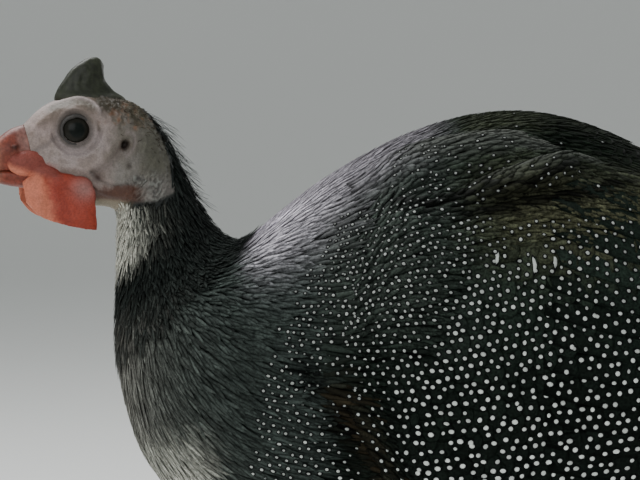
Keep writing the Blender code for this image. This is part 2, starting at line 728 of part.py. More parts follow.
def tail_line(spread, drop, start, length, curl):
    """A place function for a tail feather: spread is its angle from the middle, drop its layer."""
    sideways = Vector((0, -1, 0))
    way = TAIL_WAY * math.cos(spread) + sideways * math.sin(spread)
    way -= TAIL_UP * TAIL_SAG * abs(math.sin(spread))
    way.normalize()
    roof = Matrix.Rotation(-spread * TAIL_ROOF, 3, TAIL_WAY)
    across_way, up = roof @ sideways, roof @ TAIL_UP
    base = TAIL_ROOT - TAIL_UP * drop + sideways * math.sin(spread) * TAIL_ROOT_HALF

    def place(t, across, lift):
        out = start + length * t
        return base + way * out + across_way * across + up * lift - TAIL_UP * curl * t * t

    return place


# The tail's tiers: count, angle between neighbours, root height, start, length, half width, thickness.
Fan = namedtuple("Fan", "count angle height start length half_width thickness")
FANS = (
    Fan(11, 6.0, 0.0, 0.002, 0.082, 0.0128, 0.0010),
    Fan(5, 10.5, 0.0044, -0.002, 0.050, 0.0130, 0.0024),
    Fan(3, 13.0, 0.0088, -0.006, 0.031, 0.0125, 0.0032),
    Fan(3, 14.0, -0.0130, 0.000, 0.044, 0.0135, 0.0024),
)
# Each feather is this much lower and shorter than its inner neighbour, the left ones a bit more.
FAN_DROP, FAN_SHORTER, LEFT_DROP = 0.0013, 0.0018, 0.4


def make_tail():
    """Drooping tail: long feathers in a narrow roof, with coverts above and below their roots."""
    core = body_loft("tail", TORSO_TAIL, TAIL_END, 3, 16, FINISHES["flight"])
    vanes = []
    for number, fan in enumerate(FANS):
        for k in range(fan.count):
            i = k - (fan.count - 1) / 2
            drop = FAN_DROP * (abs(i) + (LEFT_DROP if i < 0 else 0)) - fan.height
            length = fan.length - FAN_SHORTER * abs(i)
            place = tail_line(math.radians(fan.angle) * i, drop, fan.start, length, TAIL_CURL)
            top, bed = level(fan.thickness / 2), level(-fan.thickness / 2)
            vanes.append(vane(f"fan_{number}_{k}", place, fan.half_width, top, bed, FINISHES["flight"]))
    joined(core, vanes)
    cut_by(core, swollen_torso())
    keep_largest(core)


# The leg in side view and from the middle line: hip, hock and the middle of the foot.
HIP = Vector((0.004, 0.034, 0.146))
HOCK = Vector((0.031, 0.037, 0.094))
FOOT = Vector((0.010, 0.040, 0.0095))
THIGH_END, SHANK_END = 0.93, 0.95
# Shares of the thigh's length and its radius there.
THIGH_ROWS = ((0.0, 0.0190), (0.25, 0.0200), (0.5, 0.0172), (0.75, 0.0122), (THIGH_END, 0.0080))
# The shank's radii at its top, just below it and at these shares of the way down.
SHANK_SHARES = (0.02, 0.10, 0.28, 0.50, 0.72, 0.88, SHANK_END)
SHANK_RADII = (0.0062, 0.0068, 0.0068, 0.0060, 0.0044, 0.0040, 0.0041, 0.0046, 0.0052)
SHANK_TOP, SHANK_FLAT = 0.003, 0.86
# The scutes: how many, the first one's share of the way down, and the step to the next.
SCUTES, SCUTE_FIRST, SCUTE_STEP = 11, 0.11, 0.074
# A scute's rings: height from its middle, and how far it stands off the shank.
SCUTE_RINGS = ((0.0036, 0.0001), (-0.0028, 0.0009), (-0.0032, -0.0012))
SCUTE_SPREAD = math.radians(120)

# Each toe: its angle from straight ahead, outwards positive, its length and its radius at the root.
TOES = {"inner": (-28, 0.040, 0.0042), "middle": (2, 0.054, 0.0046),
        "outer": (31, 0.043, 0.0042), "hind": (172, 0.017, 0.0034)}
# A toe starts this far from the foot's middle, is swollen at each joint and sinks to its end.
TOE_START = 0.004
KNUCKLE_SHARES = (0.0, 0.18, 0.30, 0.42, 0.56, 0.68, 0.86, 1.0)
KNUCKLE_SWELL = (1.10, 1.0, 0.90, 1.02, 0.84, 0.94, 0.84, 0.62)
TOE_HEIGHTS, HIND_TOE_HEIGHTS = (0.0072, 0.0036), (0.0078, 0.0032)
PAD_OFFSET, PAD_SIZE = (-0.001, 0, -0.0035), (0.0078, 0.0078, 0.0062)
# The ankle's rings: distance past the shank's end, and radius.
ANKLE = ((-0.002, 0.0054), (0.005, 0.0060), (0.009, 0.0062))
SHANK_ROOM, SHANK_ROOM_RADIUS = 0.030, 0.0120
FLOOR_MIDDLE, FLOOR_SIZE = (0, 0, -0.010), (0.5, 0.5, 0.020)
CLAW_LENGTH = {"inner": 0.0100, "middle": 0.0120, "outer": 0.0100, "hind": 0.0080}


def leg_point(point, side):
    return Vector((point.x, -side * point.y, point.z))


def make_thighs():
    """The feathered part of each leg that shows below the belly."""
    for label, side in SIDES.items():
        points = [leg_point(HIP.lerp(HOCK, t), side) for t, _ in THIGH_ROWS]
        thigh = tube("thigh_" + label, points, [r for _, r in THIGH_ROWS], FINISHES["body"], 16)
        keep_largest(cut_by(thigh, swollen_torso()))


def make_shanks():
    """Bare shank with the knob of the hock, and a row of broad scutes down its front."""
    for label, side in SIDES.items():
        thighward = (HOCK - HIP).normalized()
        top = HIP.lerp(HOCK, THIGH_END) + thighward * GAP
        rows = [top, top + thighward * SHANK_TOP]
        rows += [HOCK.lerp(FOOT, t) for t in SHANK_SHARES]
        points = [leg_point(p, side) for p in rows]
        shank = tube("shank_" + label, points, SHANK_RADII, FINISHES["leg"], 12, SHANK_FLAT)
        scutes = []
        for i in range(SCUTES):
            t = SCUTE_FIRST + SCUTE_STEP * i
            middle = HOCK.lerp(FOOT, t)
            radius = 0.0062 - 0.0018 * min(1, t / 0.3) + 0.0008 * max(0, (t - 0.7) / 0.2)
            scutes.append(scute(f"scute_{i}", leg_point(middle, side), radius, side))
        # The plates' rims all but touch, which the exact solver leaves open.
        joined(shank, scutes, "MANIFOLD")
        keep_largest(shank)


def scute(name, middle, radius, side):
    """A curved plate on the front of the shank, its lower edge standing off a little."""
    rings = []
    for height, off in SCUTE_RINGS:
        ring = []
        for k in range(4):
            a = SCUTE_SPREAD * (k / 3 - 0.5)
            reach = radius + off
            ring.append(middle + Vector((-math.cos(a) * reach, math.sin(a) * reach * SHANK_FLAT, height)))
        back = middle + Vector((-radius * 0.2, 0, height))
        rings.append(ring + [back])
    return loft(name, rings, FINISHES["leg"])


def toe_way(angle, side):
    a = math.radians(angle)
    return Vector((-math.cos(a), -side * math.sin(a), 0))


def toe_start(name, side):
    angle, _, _ = TOES[name]
    return leg_point(FOOT, side) + toe_way(angle, side) * TOE_START


def toe_points(name, side):
    """The middle line of a toe, low at its end, and its radii with a knuckle at each joint."""
    angle, length, radius = TOES[name]
    start, way = toe_start(name, side), toe_way(angle, side)
    points, radii = [], []
    for share, grow in zip(KNUCKLE_SHARES, KNUCKLE_SWELL):
        if name == "hind":
            height = mixed(HIND_TOE_HEIGHTS[0], HIND_TOE_HEIGHTS[1], share)
        else:
            height = mixed(TOE_HEIGHTS[0], TOE_HEIGHTS[1], min(1, share / 0.3))
        points.append(start + way * length * share + Vector((0, 0, height - FOOT.z)))
        radii.append(radius * grow)
    return points, radii


def make_feet():
    """Three front toes and a short hind toe on one pad, flat below, each ending in a claw."""
    for label, side in SIDES.items():
        pad_at = leg_point(FOOT, side) + Vector(PAD_OFFSET)
        foot = oval("foot_" + label, pad_at, PAD_SIZE, FINISHES["leg"], 12, 8)
        toes = []
        for name in TOES:
            points, radii = toe_points(name, side)
            toes.append(tube("toe_" + name, points, radii, FINISHES["leg"], 8))
        socket_end = HOCK.lerp(FOOT, SHANK_END)
        way = (FOOT - HOCK).normalized()
        ankle = [leg_point(socket_end + way * d, side) for d, _ in ANKLE]
        toes.append(tube("ankle", ankle, [radius for _, radius in ANKLE], FINISHES["leg"], 12))
        joined(foot, toes)
        room = [leg_point(socket_end + way * d, side) for d in (-SHANK_ROOM, GAP)]
        room_radii = (SHANK_ROOM_RADIUS, SHANK_ROOM_RADIUS)
        shank_room = tube("shank_room", room, room_radii, FINISHES["leg"], 12)
        cut_by(foot, box_cutter("floor", FLOOR_MIDDLE, FLOOR_SIZE), shank_room)
        keep_largest(foot)
        for name in TOES:
            make_claw(name, label, side)


def make_claw(name, label, side):
    """A curved, tapering claw past the end of a toe."""
    angle = TOES[name][0]
    points, radii = toe_points(name, side)
    way, end, root = toe_way(angle, side), points[-1], radii[-1]
    length = CLAW_LENGTH[name]
    onward = (end - points[-2]).normalized()
    line = [end + onward * GAP, end + onward * (GAP + length * 0.12)]
    for t in (0.4, 0.7, 1.0):
        fall = (end.z - 0.0006) * t**1.6
        line.append(end + way * (GAP + length * t) - Vector((0, 0, fall)))
    sizes = [root * k for k in (0.88, 0.84, 0.62, 0.38, 0.15)]
    claw = tube(f"claw_{name}_{label}", line, sizes, FINISHES["claw"], 8)
    cut_by(claw, box_cutter("floor", FLOOR_MIDDLE, FLOOR_SIZE))
    keep_largest(claw)


def box_cutter(name, middle, size):
    bm = bmesh.new()
    bmesh.ops.create_cube(bm, size=1)
    bmesh.ops.transform(bm, matrix=Matrix.Translation(middle) @ Matrix.Diagonal((*size, 1)), verts=bm.verts)
    mesh = bpy.data.meshes.new(name)
    bm.to_mesh(mesh)
    bm.free()
    shape = bpy.data.objects.new(name, mesh)
    bpy.context.scene.collection.objects.link(shape)
    return shape


clear_scene()
FINISHES = make_finishes()
make_head()
make_eyes()
make_casque()
make_bill()
make_wattles()
make_neck()
make_torso()
make_wings()
make_tail()
make_thighs()
make_shanks()
make_feet()
for node in bpy.data.objects:
    node.data.transform(Matrix.Translation((FORWARD_SHIFT, 0, 0)))
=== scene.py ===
"""Dresses a helmeted guinea fowl: bare head and horn, skin, feathers with their spots, legs.

Metres, +Z up. The bird faces -X and its own left side is at -Y. The body is a row of
sections, each a closed curve in a flat plane between the back line and the belly line.
A Sheet is a surface read at p, which runs tailwards, and q, which runs across the lie of
the feathers, and every feather is laid on a Sheet from its root.
"""

import math
from collections import namedtuple
from functools import partial

import bmesh
import bpy
import numpy as np
from bpy.props import FloatProperty, FloatVectorProperty, IntProperty, PointerProperty
from bpy.types import Operator, Panel, PropertyGroup
from mathutils import Matrix, Vector, noise
from mathutils.kdtree import KDTree


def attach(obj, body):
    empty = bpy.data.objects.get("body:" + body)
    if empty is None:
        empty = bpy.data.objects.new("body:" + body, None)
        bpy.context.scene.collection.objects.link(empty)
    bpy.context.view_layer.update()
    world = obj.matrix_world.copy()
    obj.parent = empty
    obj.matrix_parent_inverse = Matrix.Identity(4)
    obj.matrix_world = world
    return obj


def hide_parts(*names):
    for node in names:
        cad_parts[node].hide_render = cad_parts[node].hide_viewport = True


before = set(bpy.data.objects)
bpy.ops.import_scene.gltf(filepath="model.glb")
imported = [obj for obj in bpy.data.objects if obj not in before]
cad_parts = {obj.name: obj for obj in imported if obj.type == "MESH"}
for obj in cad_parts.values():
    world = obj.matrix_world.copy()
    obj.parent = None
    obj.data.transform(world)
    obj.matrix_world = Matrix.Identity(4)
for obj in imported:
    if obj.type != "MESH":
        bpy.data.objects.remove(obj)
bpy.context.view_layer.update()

bl_info = {
    "name": "Guinea Fowl Dresser",
    "version": (1, 0, 0),
    "blender": (4, 5, 0),
    "location": "3D View > Sidebar > Guinea Fowl",
    "description": "Builds the skin, feathers, bare head, horn and legs of a standing guinea fowl",
    "category": "Object",
}

# Back x and z, belly x and z, half width, height of the widest place, and the powers of the
# curve above and below it, for each section from the base of the bill to the tail's root.
SECTIONS = np.array((
    (-0.2045, 0.3160, -0.1990, 0.2895, 0.0070, 0.50, 2.2, 2.0),
    (-0.1972, 0.3228, -0.1930, 0.2862, 0.0096, 0.56, 2.3, 1.8),
    (-0.1890, 0.3268, -0.1845, 0.2835, 0.0120, 0.60, 2.5, 1.7),
    (-0.1795, 0.3285, -0.1762, 0.2820, 0.0134, 0.60, 2.6, 1.7),
    (-0.1665, 0.3272, -0.1692, 0.2812, 0.0140, 0.56, 2.5, 1.8),
    (-0.1545, 0.3220, -0.1652, 0.2790, 0.0144, 0.52, 2.4, 1.9),
    (-0.1452, 0.3110, -0.1640, 0.2745, 0.0148, 0.50, 2.2, 2.0),
    (-0.1380, 0.2970, -0.1640, 0.2680, 0.0152, 0.50, 2.0, 2.0),
    (-0.1315, 0.2840, -0.1643, 0.2580, 0.0172, 0.50, 2.0, 2.0),
    (-0.1240, 0.2725, -0.1648, 0.2450, 0.0212, 0.50, 2.0, 2.0),
    (-0.1155, 0.2660, -0.1652, 0.2310, 0.0280, 0.50, 2.0, 2.0),
    (-0.1070, 0.2680, -0.1648, 0.2150, 0.0370, 0.50, 2.0, 2.0),
    (-0.0950, 0.2780, -0.1612, 0.1955, 0.0468, 0.49, 2.0, 2.1),
    (-0.0800, 0.2900, -0.1518, 0.1715, 0.0565, 0.48, 2.0, 2.1),
    (-0.0620, 0.3015, -0.1300, 0.1490, 0.0640, 0.47, 2.0, 2.2),
    (-0.0400, 0.3125, -0.0950, 0.1350, 0.0680, 0.46, 2.0, 2.2),
    (-0.0150, 0.3200, -0.0500, 0.1295, 0.0690, 0.46, 2.0, 2.2),
    (0.0100, 0.3215, -0.0050, 0.1295, 0.0680, 0.46, 2.0, 2.2),
    (0.0350, 0.3160, 0.0400, 0.1340, 0.0650, 0.47, 2.0, 2.1),
    (0.0620, 0.3040, 0.0800, 0.1440, 0.0590, 0.48, 2.0, 2.1),
    (0.0920, 0.2870, 0.1170, 0.1580, 0.0500, 0.49, 2.0, 2.0),
    (0.1220, 0.2675, 0.1470, 0.1740, 0.0385, 0.50, 2.0, 2.0),
    (0.1480, 0.2480, 0.1690, 0.1900, 0.0270, 0.50, 2.0, 2.0),
    (0.1700, 0.2300, 0.1830, 0.2020, 0.0170, 0.50, 2.0, 2.0),
))
LAST = len(SECTIONS) - 1
# How far the frame's origin moves the bird back, and how the head turns about an upright line.
FORWARD_SHIFT = 0.00167
HEAD_TURN = math.radians(12)
TURN_X, TURN_FULL, TURN_NONE = -0.150, 5.5, 10.0
SIDES = {"left": 1, "right": -1}

# The eye and the ear before the head's turn: places in side view, how far out, and sizes.
EYE_X, EYE_Z, EYE_OUT = -0.1838, 0.3139, 0.0098
EYE_RADIUS, EYE_DEPTH = 0.0062, 0.0042
EAR_X, EAR_Z = -0.1638, 0.3078

# The folded wing's upper and lower edges in side view, and how far its front bulges forward.
WING_TOP = ((-0.070, 0.270), (-0.038, 0.299), (0.008, 0.304),
            (0.054, 0.290), (0.098, 0.264), (0.138, 0.232))
WING_LOW = ((-0.047, 0.165), (-0.024, 0.158), (0.014, 0.1545),
            (0.060, 0.159), (0.104, 0.1785), (0.140, 0.204))
WING_BULGE = 0.013

TAIL_ROOT = np.array((0.158, 0.0, 0.219))
TAIL_WAY = np.array((0.80, 0.0, -0.60))
TAIL_UP = np.array((0.60, 0.0, 0.80))
TAIL_LENGTH = 0.084
TAIL_SPREAD = math.radians(36)

HIP = Vector((0.004, 0.034, 0.146))
HOCK = Vector((0.031, 0.037, 0.094))
FOOT = Vector((0.010, 0.040, 0.0095))
THIGH_END, SHANK_END = 0.93, 0.95
# Each toe's angle from straight ahead in degrees, its length, its radius and its claw's length.
TOES = {
    "inner": (-28, 0.040, 0.0042, 0.0100),
    "middle": (2, 0.054, 0.0046, 0.0120),
    "outer": (31, 0.043, 0.0042, 0.0100),
    "hind": (172, 0.017, 0.0034, 0.0080),
}

Length = partial(FloatProperty, unit="LENGTH")
Colour = partial(FloatVectorProperty, subtype="COLOR", min=0, max=1)


class BodySettings(PropertyGroup):
    """Sizes and colours of the skin and of the bare head."""

    coat_depth: Length(name="Coat depth", description="How far the skin lies below the feathers' outline",
                       default=0.0016, min=0.001, max=0.01)
    face_colour: Colour(name="Face", description="Bare skin of the cheek", default=(0.275, 0.232, 0.222))
    jaw_colour: Colour(name="Jaw", description="Wrinkled skin below and behind the ear",
                       default=(0.165, 0.152, 0.138))
    crown_colour: Colour(name="Crown", description="Rough skin round the casque",
                         default=(0.095, 0.075, 0.050))
    wattle_colour: Colour(name="Wattle", description="Wattles and the lobe at the mouth's corner",
                          default=(0.30, 0.020, 0.012))
    bill_colour: Colour(name="Bill", description="Horn at the base of the bill",
                        default=(0.175, 0.037, 0.022))
    casque_colour: Colour(name="Casque", description="Horn of the casque", default=(0.019, 0.022, 0.013))


class CoatSettings(PropertyGroup):
    """Sizes and colours of the feathers and their spots."""

    feather_step: Length(name="Feather step", description="Distance between rows of body feathers",
                         default=0.0074, min=0.004, max=0.02)
    wing_step: Length(name="Wing step", description="Distance between rows of wing coverts",
                      default=0.0082, min=0.004, max=0.02)
    vane_thickness: Length(name="Vane thickness", description="Thickness of a body feather's blade",
                           default=0.00022, min=0.0001, max=0.001)
    largest_spot: Length(name="Largest spot", description="Widest spot on the flank",
                         default=0.0023, min=0.001, max=0.008)
    ground_colour: Colour(name="Ground", description="Dark ground of the body feathers",
                          default=(0.0050, 0.0078, 0.0063))
    mantle_colour: Colour(name="Mantle", description="Lilac-grey of the upper back",
                          default=(0.250, 0.235, 0.262))
    neck_colour: Colour(name="Neck", description="Hair-like feathers of the neck",
                        default=(0.0120, 0.0150, 0.0135))
    down_colour: Colour(name="Down", description="Pale down below the throat", default=(0.46, 0.46, 0.40))
    spot_colour: Colour(name="Spot", description="Pearl spots", default=(0.66, 0.70, 0.66))
    ring_colour: Colour(name="Ring", description="Dark ring round each spot", default=(0.006, 0.006, 0.007))
    seed: IntProperty(name="Seed", description="Start of the feathers' random variation", default=7, min=0)


class StageSettings(PropertyGroup):
    """Camera, light and floor."""

    view_width: Length(name="View width", description="Width of the picture at the middle of the bird",
                       default=0.272, min=0.05, max=2)
    distance: Length(name="Distance", description="From the camera to the bird's middle plane",
                     default=1.0, min=0.3, max=5)
    centre: FloatVectorProperty(name="Centre", description="Point in the middle of the picture",
                                default=(-0.0774, 0.0, 0.2667), unit="LENGTH", subtype="TRANSLATION")
    azimuth: FloatProperty(name="Azimuth", description="Camera's turn round the bird",
                           default=math.radians(-2), unit="ROTATION")
    elevation: FloatProperty(name="Elevation", description="Camera's height over the horizon",
                             default=math.radians(4), unit="ROTATION")
    key_power: FloatProperty(name="Key light", description="Power of the large overhead light, in watts",
                             default=24.0, min=0)
    fill_power: FloatProperty(name="Fill light", description="Power of the light beside the camera, in watts",
                              default=6.5, min=0)
    floor_colour: Colour(name="Floor", description="Pale floor", default=(0.72, 0.73, 0.72))


def eased(share):
    share = np.clip(share, 0.0, 1.0)
    return share * share * (3 - 2 * share)


def bell(distance, width):
    return np.exp(-(distance / width) ** 2)


def mixed(a, b, share):
    """Colour a with a share of colour b in it."""
    share = np.asarray(share)[..., None]
    return np.asarray(a) * (1 - share) + np.asarray(b) * share


def painter(tint):
    """A function that mixes a share of a colour into an array of colours."""
    def paint(colour, share):
        tint[:] = mixed(tint, colour, share)

    return paint


def span(vectors):
    return np.linalg.norm(vectors, axis=-1)


def unit(vectors):
    return vectors / span(vectors)[..., None]


def run_along(line):
    """Distance along a line from its start to each of its points."""
    return np.concatenate([[0.0], np.cumsum(span(np.diff(line, axis=0)))])


def circle(count):
    return np.linspace(0, 2 * math.pi, count, endpoint=False)


def catmull(table, place):
    """Rows of a table read at fractional places, on a smooth curve through them."""
    table = np.asarray(table, float)
    padded = np.vstack([2 * table[0] - table[1], table, 2 * table[-1] - table[-2]])
    place = np.clip(np.asarray(place, float), 0, len(table) - 1)
    i = np.minimum(place.astype(int), len(table) - 2)
    t = (place - i)[..., None]
    a, b, c, d = (padded[i + k] for k in range(4))
    return 0.5 * (2 * b + (c - a) * t + (2 * a - 5 * b + 4 * c - d) * t**2 + (3 * b - a - 3 * c + d) * t**3)


def smooth_line(line, count):
    """So many points of the smooth curve through a line's points."""
    return catmull(line, np.linspace(0, len(line) - 1, count))


def between(upper, lower, u, v):
    """Points at share u along two smooth lines and share v of the way from one to the other."""
    top, low = (catmull(line, u * (len(line) - 1)) for line in (upper, lower))
    return top + (low - top) * v[..., None]


def stacked(x, y, z):
    return np.stack(np.broadcast_arrays(x, y, z), -1)


def body_points(s, angle, swell):
    """The body before its head is turned: angle 0 on the back, a quarter turn on the left side."""
    s, angle, swell = np.broadcast_arrays(s, angle, swell)
    back_x, back_z, belly_x, belly_z, half, widest, crown, keel = np.moveaxis(catmull(SECTIONS, s), -1, 0)
    height = np.hypot(back_x - belly_x, back_z - belly_z)
    up_x, up_z = (back_x - belly_x) / height, (back_z - belly_z) / height
    upward, outward = np.cos(angle), np.sin(angle)
    power = np.where(upward >= 0, crown, keel)
    reach = np.where(upward >= 0, 1 - widest, widest) * height + swell
    rise = widest * height + np.sign(upward) * np.abs(upward) ** (2 / power) * reach
    out = np.sign(outward) * np.abs(outward) ** (2 / power) * (half + swell)
    return stacked(belly_x + up_x * rise, -out, belly_z + up_z * rise)


def turned(points, share=1.0):
    """Points as the head's turn carries them, in full or in part, and as the origin asks."""
    points = np.asarray(points, float)
    angle = HEAD_TURN * np.asarray(share)
    x, y = points[..., 0] - TURN_X, points[..., 1]
    across = x * np.cos(angle) - y * np.sin(angle) + TURN_X + FORWARD_SHIFT
    return stacked(across, x * np.sin(angle) + y * np.cos(angle), points[..., 2])


def turn_share(s):
    return 1 - eased((np.asarray(s) - TURN_FULL) / (TURN_NONE - TURN_FULL))


def head_side(x, z, side, out):
    return Vector(turned((x, -side * out, z)))


def body_under(x, z):
    """The body's half width at places in side view, found by halving the span between its ends."""
    x, z = np.broadcast_arrays(np.asarray(x, float), np.asarray(z, float))
    low, high = np.full(x.shape, 7.0), np.full(x.shape, float(LAST))
    for _ in range(26):
        s = (low + high) / 2
        row = catmull(SECTIONS, s)
        rise_x, rise_z = row[..., 0] - row[..., 2], row[..., 1] - row[..., 3]
        behind = (x - row[..., 2]) * rise_z - (z - row[..., 3]) * rise_x > 0
        low, high = np.where(behind, s, low), np.where(behind, high, s)
    height2 = rise_x**2 + rise_z**2
    share = ((x - row[..., 2]) * rise_x + (z - row[..., 3]) * rise_z) / height2
    half, widest, crown, keel = (row[..., k] for k in range(4, 8))
    above = share > widest
    off = np.where(above, (share - widest) / (1 - widest), (widest - share) / widest)
    power = np.where(above, crown, keel)
    return half * (1 - np.clip(off, 0, 0.985) ** power) ** (1 / power)


def flank(x, z, side, lift):
    """Points on the body's side at places in side view, lifted off the surface."""
    step = 0.002
    y = body_under(x, z)
    slope_x = (body_under(x + step, z) - body_under(x - step, z)) / (2 * step)
    slope_z = (body_under(x, z + step) - body_under(x, z - step)) / (2 * step)
    point = stacked(x, y, z) + unit(stacked(-slope_x, 1.0, -slope_z)) * np.asarray(lift)[..., None]
    return stacked(point[..., 0] + FORWARD_SHIFT, -side * point[..., 1], point[..., 2])


class Sheet:
    """A surface sampled on an even grid. hand is -1 where p and q run left-handed."""

    def __init__(self, points, wraps, hand=1):
        rows, columns = points.shape[:2]
        self.points, self.wraps, self.hand = points, wraps, hand
        self.dp = np.gradient(points, axis=0) * (rows - 1)
        if wraps:
            self.dq = (np.roll(points, -1, 1) - np.roll(points, 1, 1)) * columns / 2
        else:
            self.dq = np.gradient(points, axis=1) * (columns - 1)
        self.normal = unit(np.cross(self.dq, self.dp) * hand)

    def read(self, table, p, q):
        """Values of a table over the sheet, between its grid's places."""
        rows, columns = table.shape[:2]
        x = np.clip(p, 0, 1) * (rows - 1)
        i = np.minimum(x.astype(int), rows - 2)
        if self.wraps:
            y = np.mod(q, 1) * columns
            j = np.minimum(y.astype(int), columns - 1)
            k = (j + 1) % columns
        else:
            y = np.clip(q, 0, 1) * (columns - 1)
            j = np.minimum(y.astype(int), columns - 2)
            k = j + 1
        u, v = (x - i)[..., None], (y - j)[..., None]
        first, second = (table[row, j] * (1 - v) + table[row, k] * v for row in (i, i + 1))
        return first * (1 - u) + second * u

    def at(self, p, q, lift):
        """Points lifted off the surface, which runs straight on beyond its edges."""
        p, q, lift = np.broadcast_arrays(p, q, lift)
        point = self.read(self.points, p, q)
        point = point + self.read(self.dp, p, q) * (p - np.clip(p, 0, 1))[..., None]
        if not self.wraps:
            point = point + self.read(self.dq, p, q) * (q - np.clip(q, 0, 1))[..., None]
        return point + self.read(self.normal, p, q) * lift[..., None]


# Hollows of the coat in side view: the line, its half width and its depth.
HOLLOWS = (
    (((0.014, 0.3075), (0.030, 0.3050), (0.046, 0.3010), (0.066, 0.2930)), 0.0048, 0.0030),
    (((-0.0868, 0.2185), (-0.0866, 0.2110)), 0.0022, 0.0026),
    (((-0.0752, 0.2020), (-0.0742, 0.1950)), 0.0018, 0.0020),
)


def line_distance(x, z, line, count=40):
    """Distance in side view from a smooth line."""
    curve = smooth_line(line, count)
    return np.min(np.hypot(x[..., None] - curve[:, 0], z[..., None] - curve[:, 1]), -1)


def skin_depth(s, angle, depth):
    """How far the skin lies inside the outline: bare on the head, then deeper under the coat."""
    start = 6.0 + 0.9 * (1 - np.cos(angle)) / 2
    return depth * (0.5 * eased((s - start) / 1.2) + 0.5 * eased((s - 9.5) / 3.5))


def skin_points(s, angle, depth):
    """Points of the skin before the head's turn, sunk by the coat's depth and by the hollows."""
    s, angle = np.broadcast_arrays(s, angle)
    sunk = -skin_depth(s, angle, depth)
    bare = body_points(s, angle, sunk)
    for line, width, hollow in HOLLOWS:
        sunk = sunk - hollow * bell(line_distance(bare[..., 0], bare[..., 2], line), width) * (s > 10)
    return body_points(s, angle, sunk)


def body_sheet(depth):
    """The skin under the coat from bill to tail, closed round the body."""
    s = np.linspace(0, LAST, 461)[:, None]
    angle = circle(256)[None, :]
    return Sheet(turned(skin_points(s, angle, depth), turn_share(s)), True)


def wing_lift(u, v):
    """How high the folded wing stands over the flank at places along it and down across it."""
    swell = np.sin(math.pi * np.clip(v, 0.05, 0.95)) ** 0.5
    front = np.maximum(eased(u / 0.16), 0.40 * eased((v - 0.55) / 0.2))
    return 0.0003 + 0.0046 * swell * (1 - 0.62 * u) * front


def wing_sheet(side):
    """The folded wing's surface: p runs back along it and q down across it."""
    u = np.linspace(0, 1, 121)[:, None]
    v = np.linspace(0, 1, 81)[None, :]
    place = between(WING_TOP, WING_LOW, u, v)
    x = place[..., 0] - WING_BULGE * np.sin(math.pi * v) * (1 - u)
    return Sheet(flank(x, place[..., 1], side, wing_lift(u, v)), False, side)


# The two tongues of shoulder feathers in side view: centre line, half width, and how they rise.
TONGUES = {
    "upper": (((-0.062, 0.2890), (-0.045, 0.2975), (-0.028, 0.3010), (-0.007, 0.3040), (0.014, 0.3062)),
              0.0082, 0.0032),
    "lower": (((-0.030, 0.2835), (-0.016, 0.2880), (0.002, 0.2930), (0.019, 0.2975), (0.034, 0.3000)),
              0.0060, 0.0048),
}


def tongue_sheet(name, side):
    """A long low mound of shoulder feathers: p runs back along it and q down across it."""
    line, half, rise = TONGUES[name]
    p = np.linspace(0, 1, 61)
    centre = catmull(line, p * (len(line) - 1))
    way = unit(np.gradient(centre, axis=0))
    across = np.linspace(-1, 1, 31)
    width = half * (0.62 + 0.38 * eased(p / 0.5)) * np.sqrt(np.clip((1.04 - p) / 0.16, 0.05, 1))
    x = centre[:, :1] + way[:, 1:] * across * width[:, None]
    z = centre[:, 1:] - way[:, :1] * across * width[:, None]
    swell = (0.25 + 0.75 * eased(p / 0.4)) * (1 - 0.85 * eased((p - 0.62) / 0.38))
    mound = np.sqrt(np.clip(1 - 0.94 * across**2, 0, 1))[None] * swell[:, None]
    sink = 0.0034 * eased((p - 0.72) / 0.28)[:, None]
    return Sheet(flank(x, z, side, 0.0012 + rise * mound - sink), False, side)


def tail_sheet(drop, hand):
    """The roof of the tail: p runs out along it and q across it from right to left."""
    p = np.linspace(0, 1, 41)[:, None]
    spread = (np.linspace(-1, 1, 61) * TAIL_SPREAD)[None, :]
    sideways = np.array((0.0, -1.0, 0.0))
    way = (
        TAIL_WAY * np.cos(spread)[..., None]
        + sideways * np.sin(spread)[..., None]
        - TAIL_UP * 0.35 * np.abs(np.sin(spread))[..., None]
    )
    out = (p * TAIL_LENGTH)[..., None]
    base = TAIL_ROOT + sideways * (np.sin(spread) * 0.024)[..., None]
    fall = (0.006 * p**2 + 0.010 * np.abs(spread) ** 1.5 + drop * (1 - p))[..., None]
    points = base + unit(way) * out - TAIL_UP * fall
    return Sheet(points + np.array((FORWARD_SHIFT, 0, 0)), False, hand)


def thigh_sheet(side):
    way = (HOCK - HIP).normalized()
    first = way.orthogonal().normalized()
    second = way.cross(first)
    p = np.linspace(0, 1, 41)[:, None]
    angle = circle(48)[None, :]
    radius = np.interp(p, (0, 0.25, 0.5, 0.75, 0.93, 1), (0.018, 0.0185, 0.0155, 0.0105, 0.0068, 0.0060))
    centre = np.array(HIP) + np.array(HOCK - HIP) * p[..., None]
    ring = np.cos(angle)[..., None] * np.array(first) + np.sin(angle)[..., None] * np.array(second)
    points = centre + ring * radius[..., None]
    points[..., 1] *= -side
    points[..., 0] += FORWARD_SHIFT
    return Sheet(points, True, -side)


def new_mesh(name, points, faces):
    """A smooth mesh of quads from arrays."""
    points = np.asarray(points, np.float32).reshape(-1, 3)
    faces = np.asarray(faces, np.int32)
    mesh = bpy.data.meshes.new(name)
    mesh.vertices.add(len(points))
    mesh.vertices.foreach_set("co", points.ravel())
    mesh.loops.add(faces.size)
    mesh.loops.foreach_set("vertex_index", faces.ravel())
    mesh.polygons.add(len(faces))
    mesh.polygons.foreach_set("loop_start", np.arange(0, faces.size, faces.shape[1], dtype=np.int32))
    mesh.update(calc_edges=True)
    mesh.shade_smooth()
    return mesh


def linked(name, data):
    """A new object in the scene's own collection."""
    made = bpy.data.objects.new(name, data)
    bpy.context.scene.collection.objects.link(made)
    return made


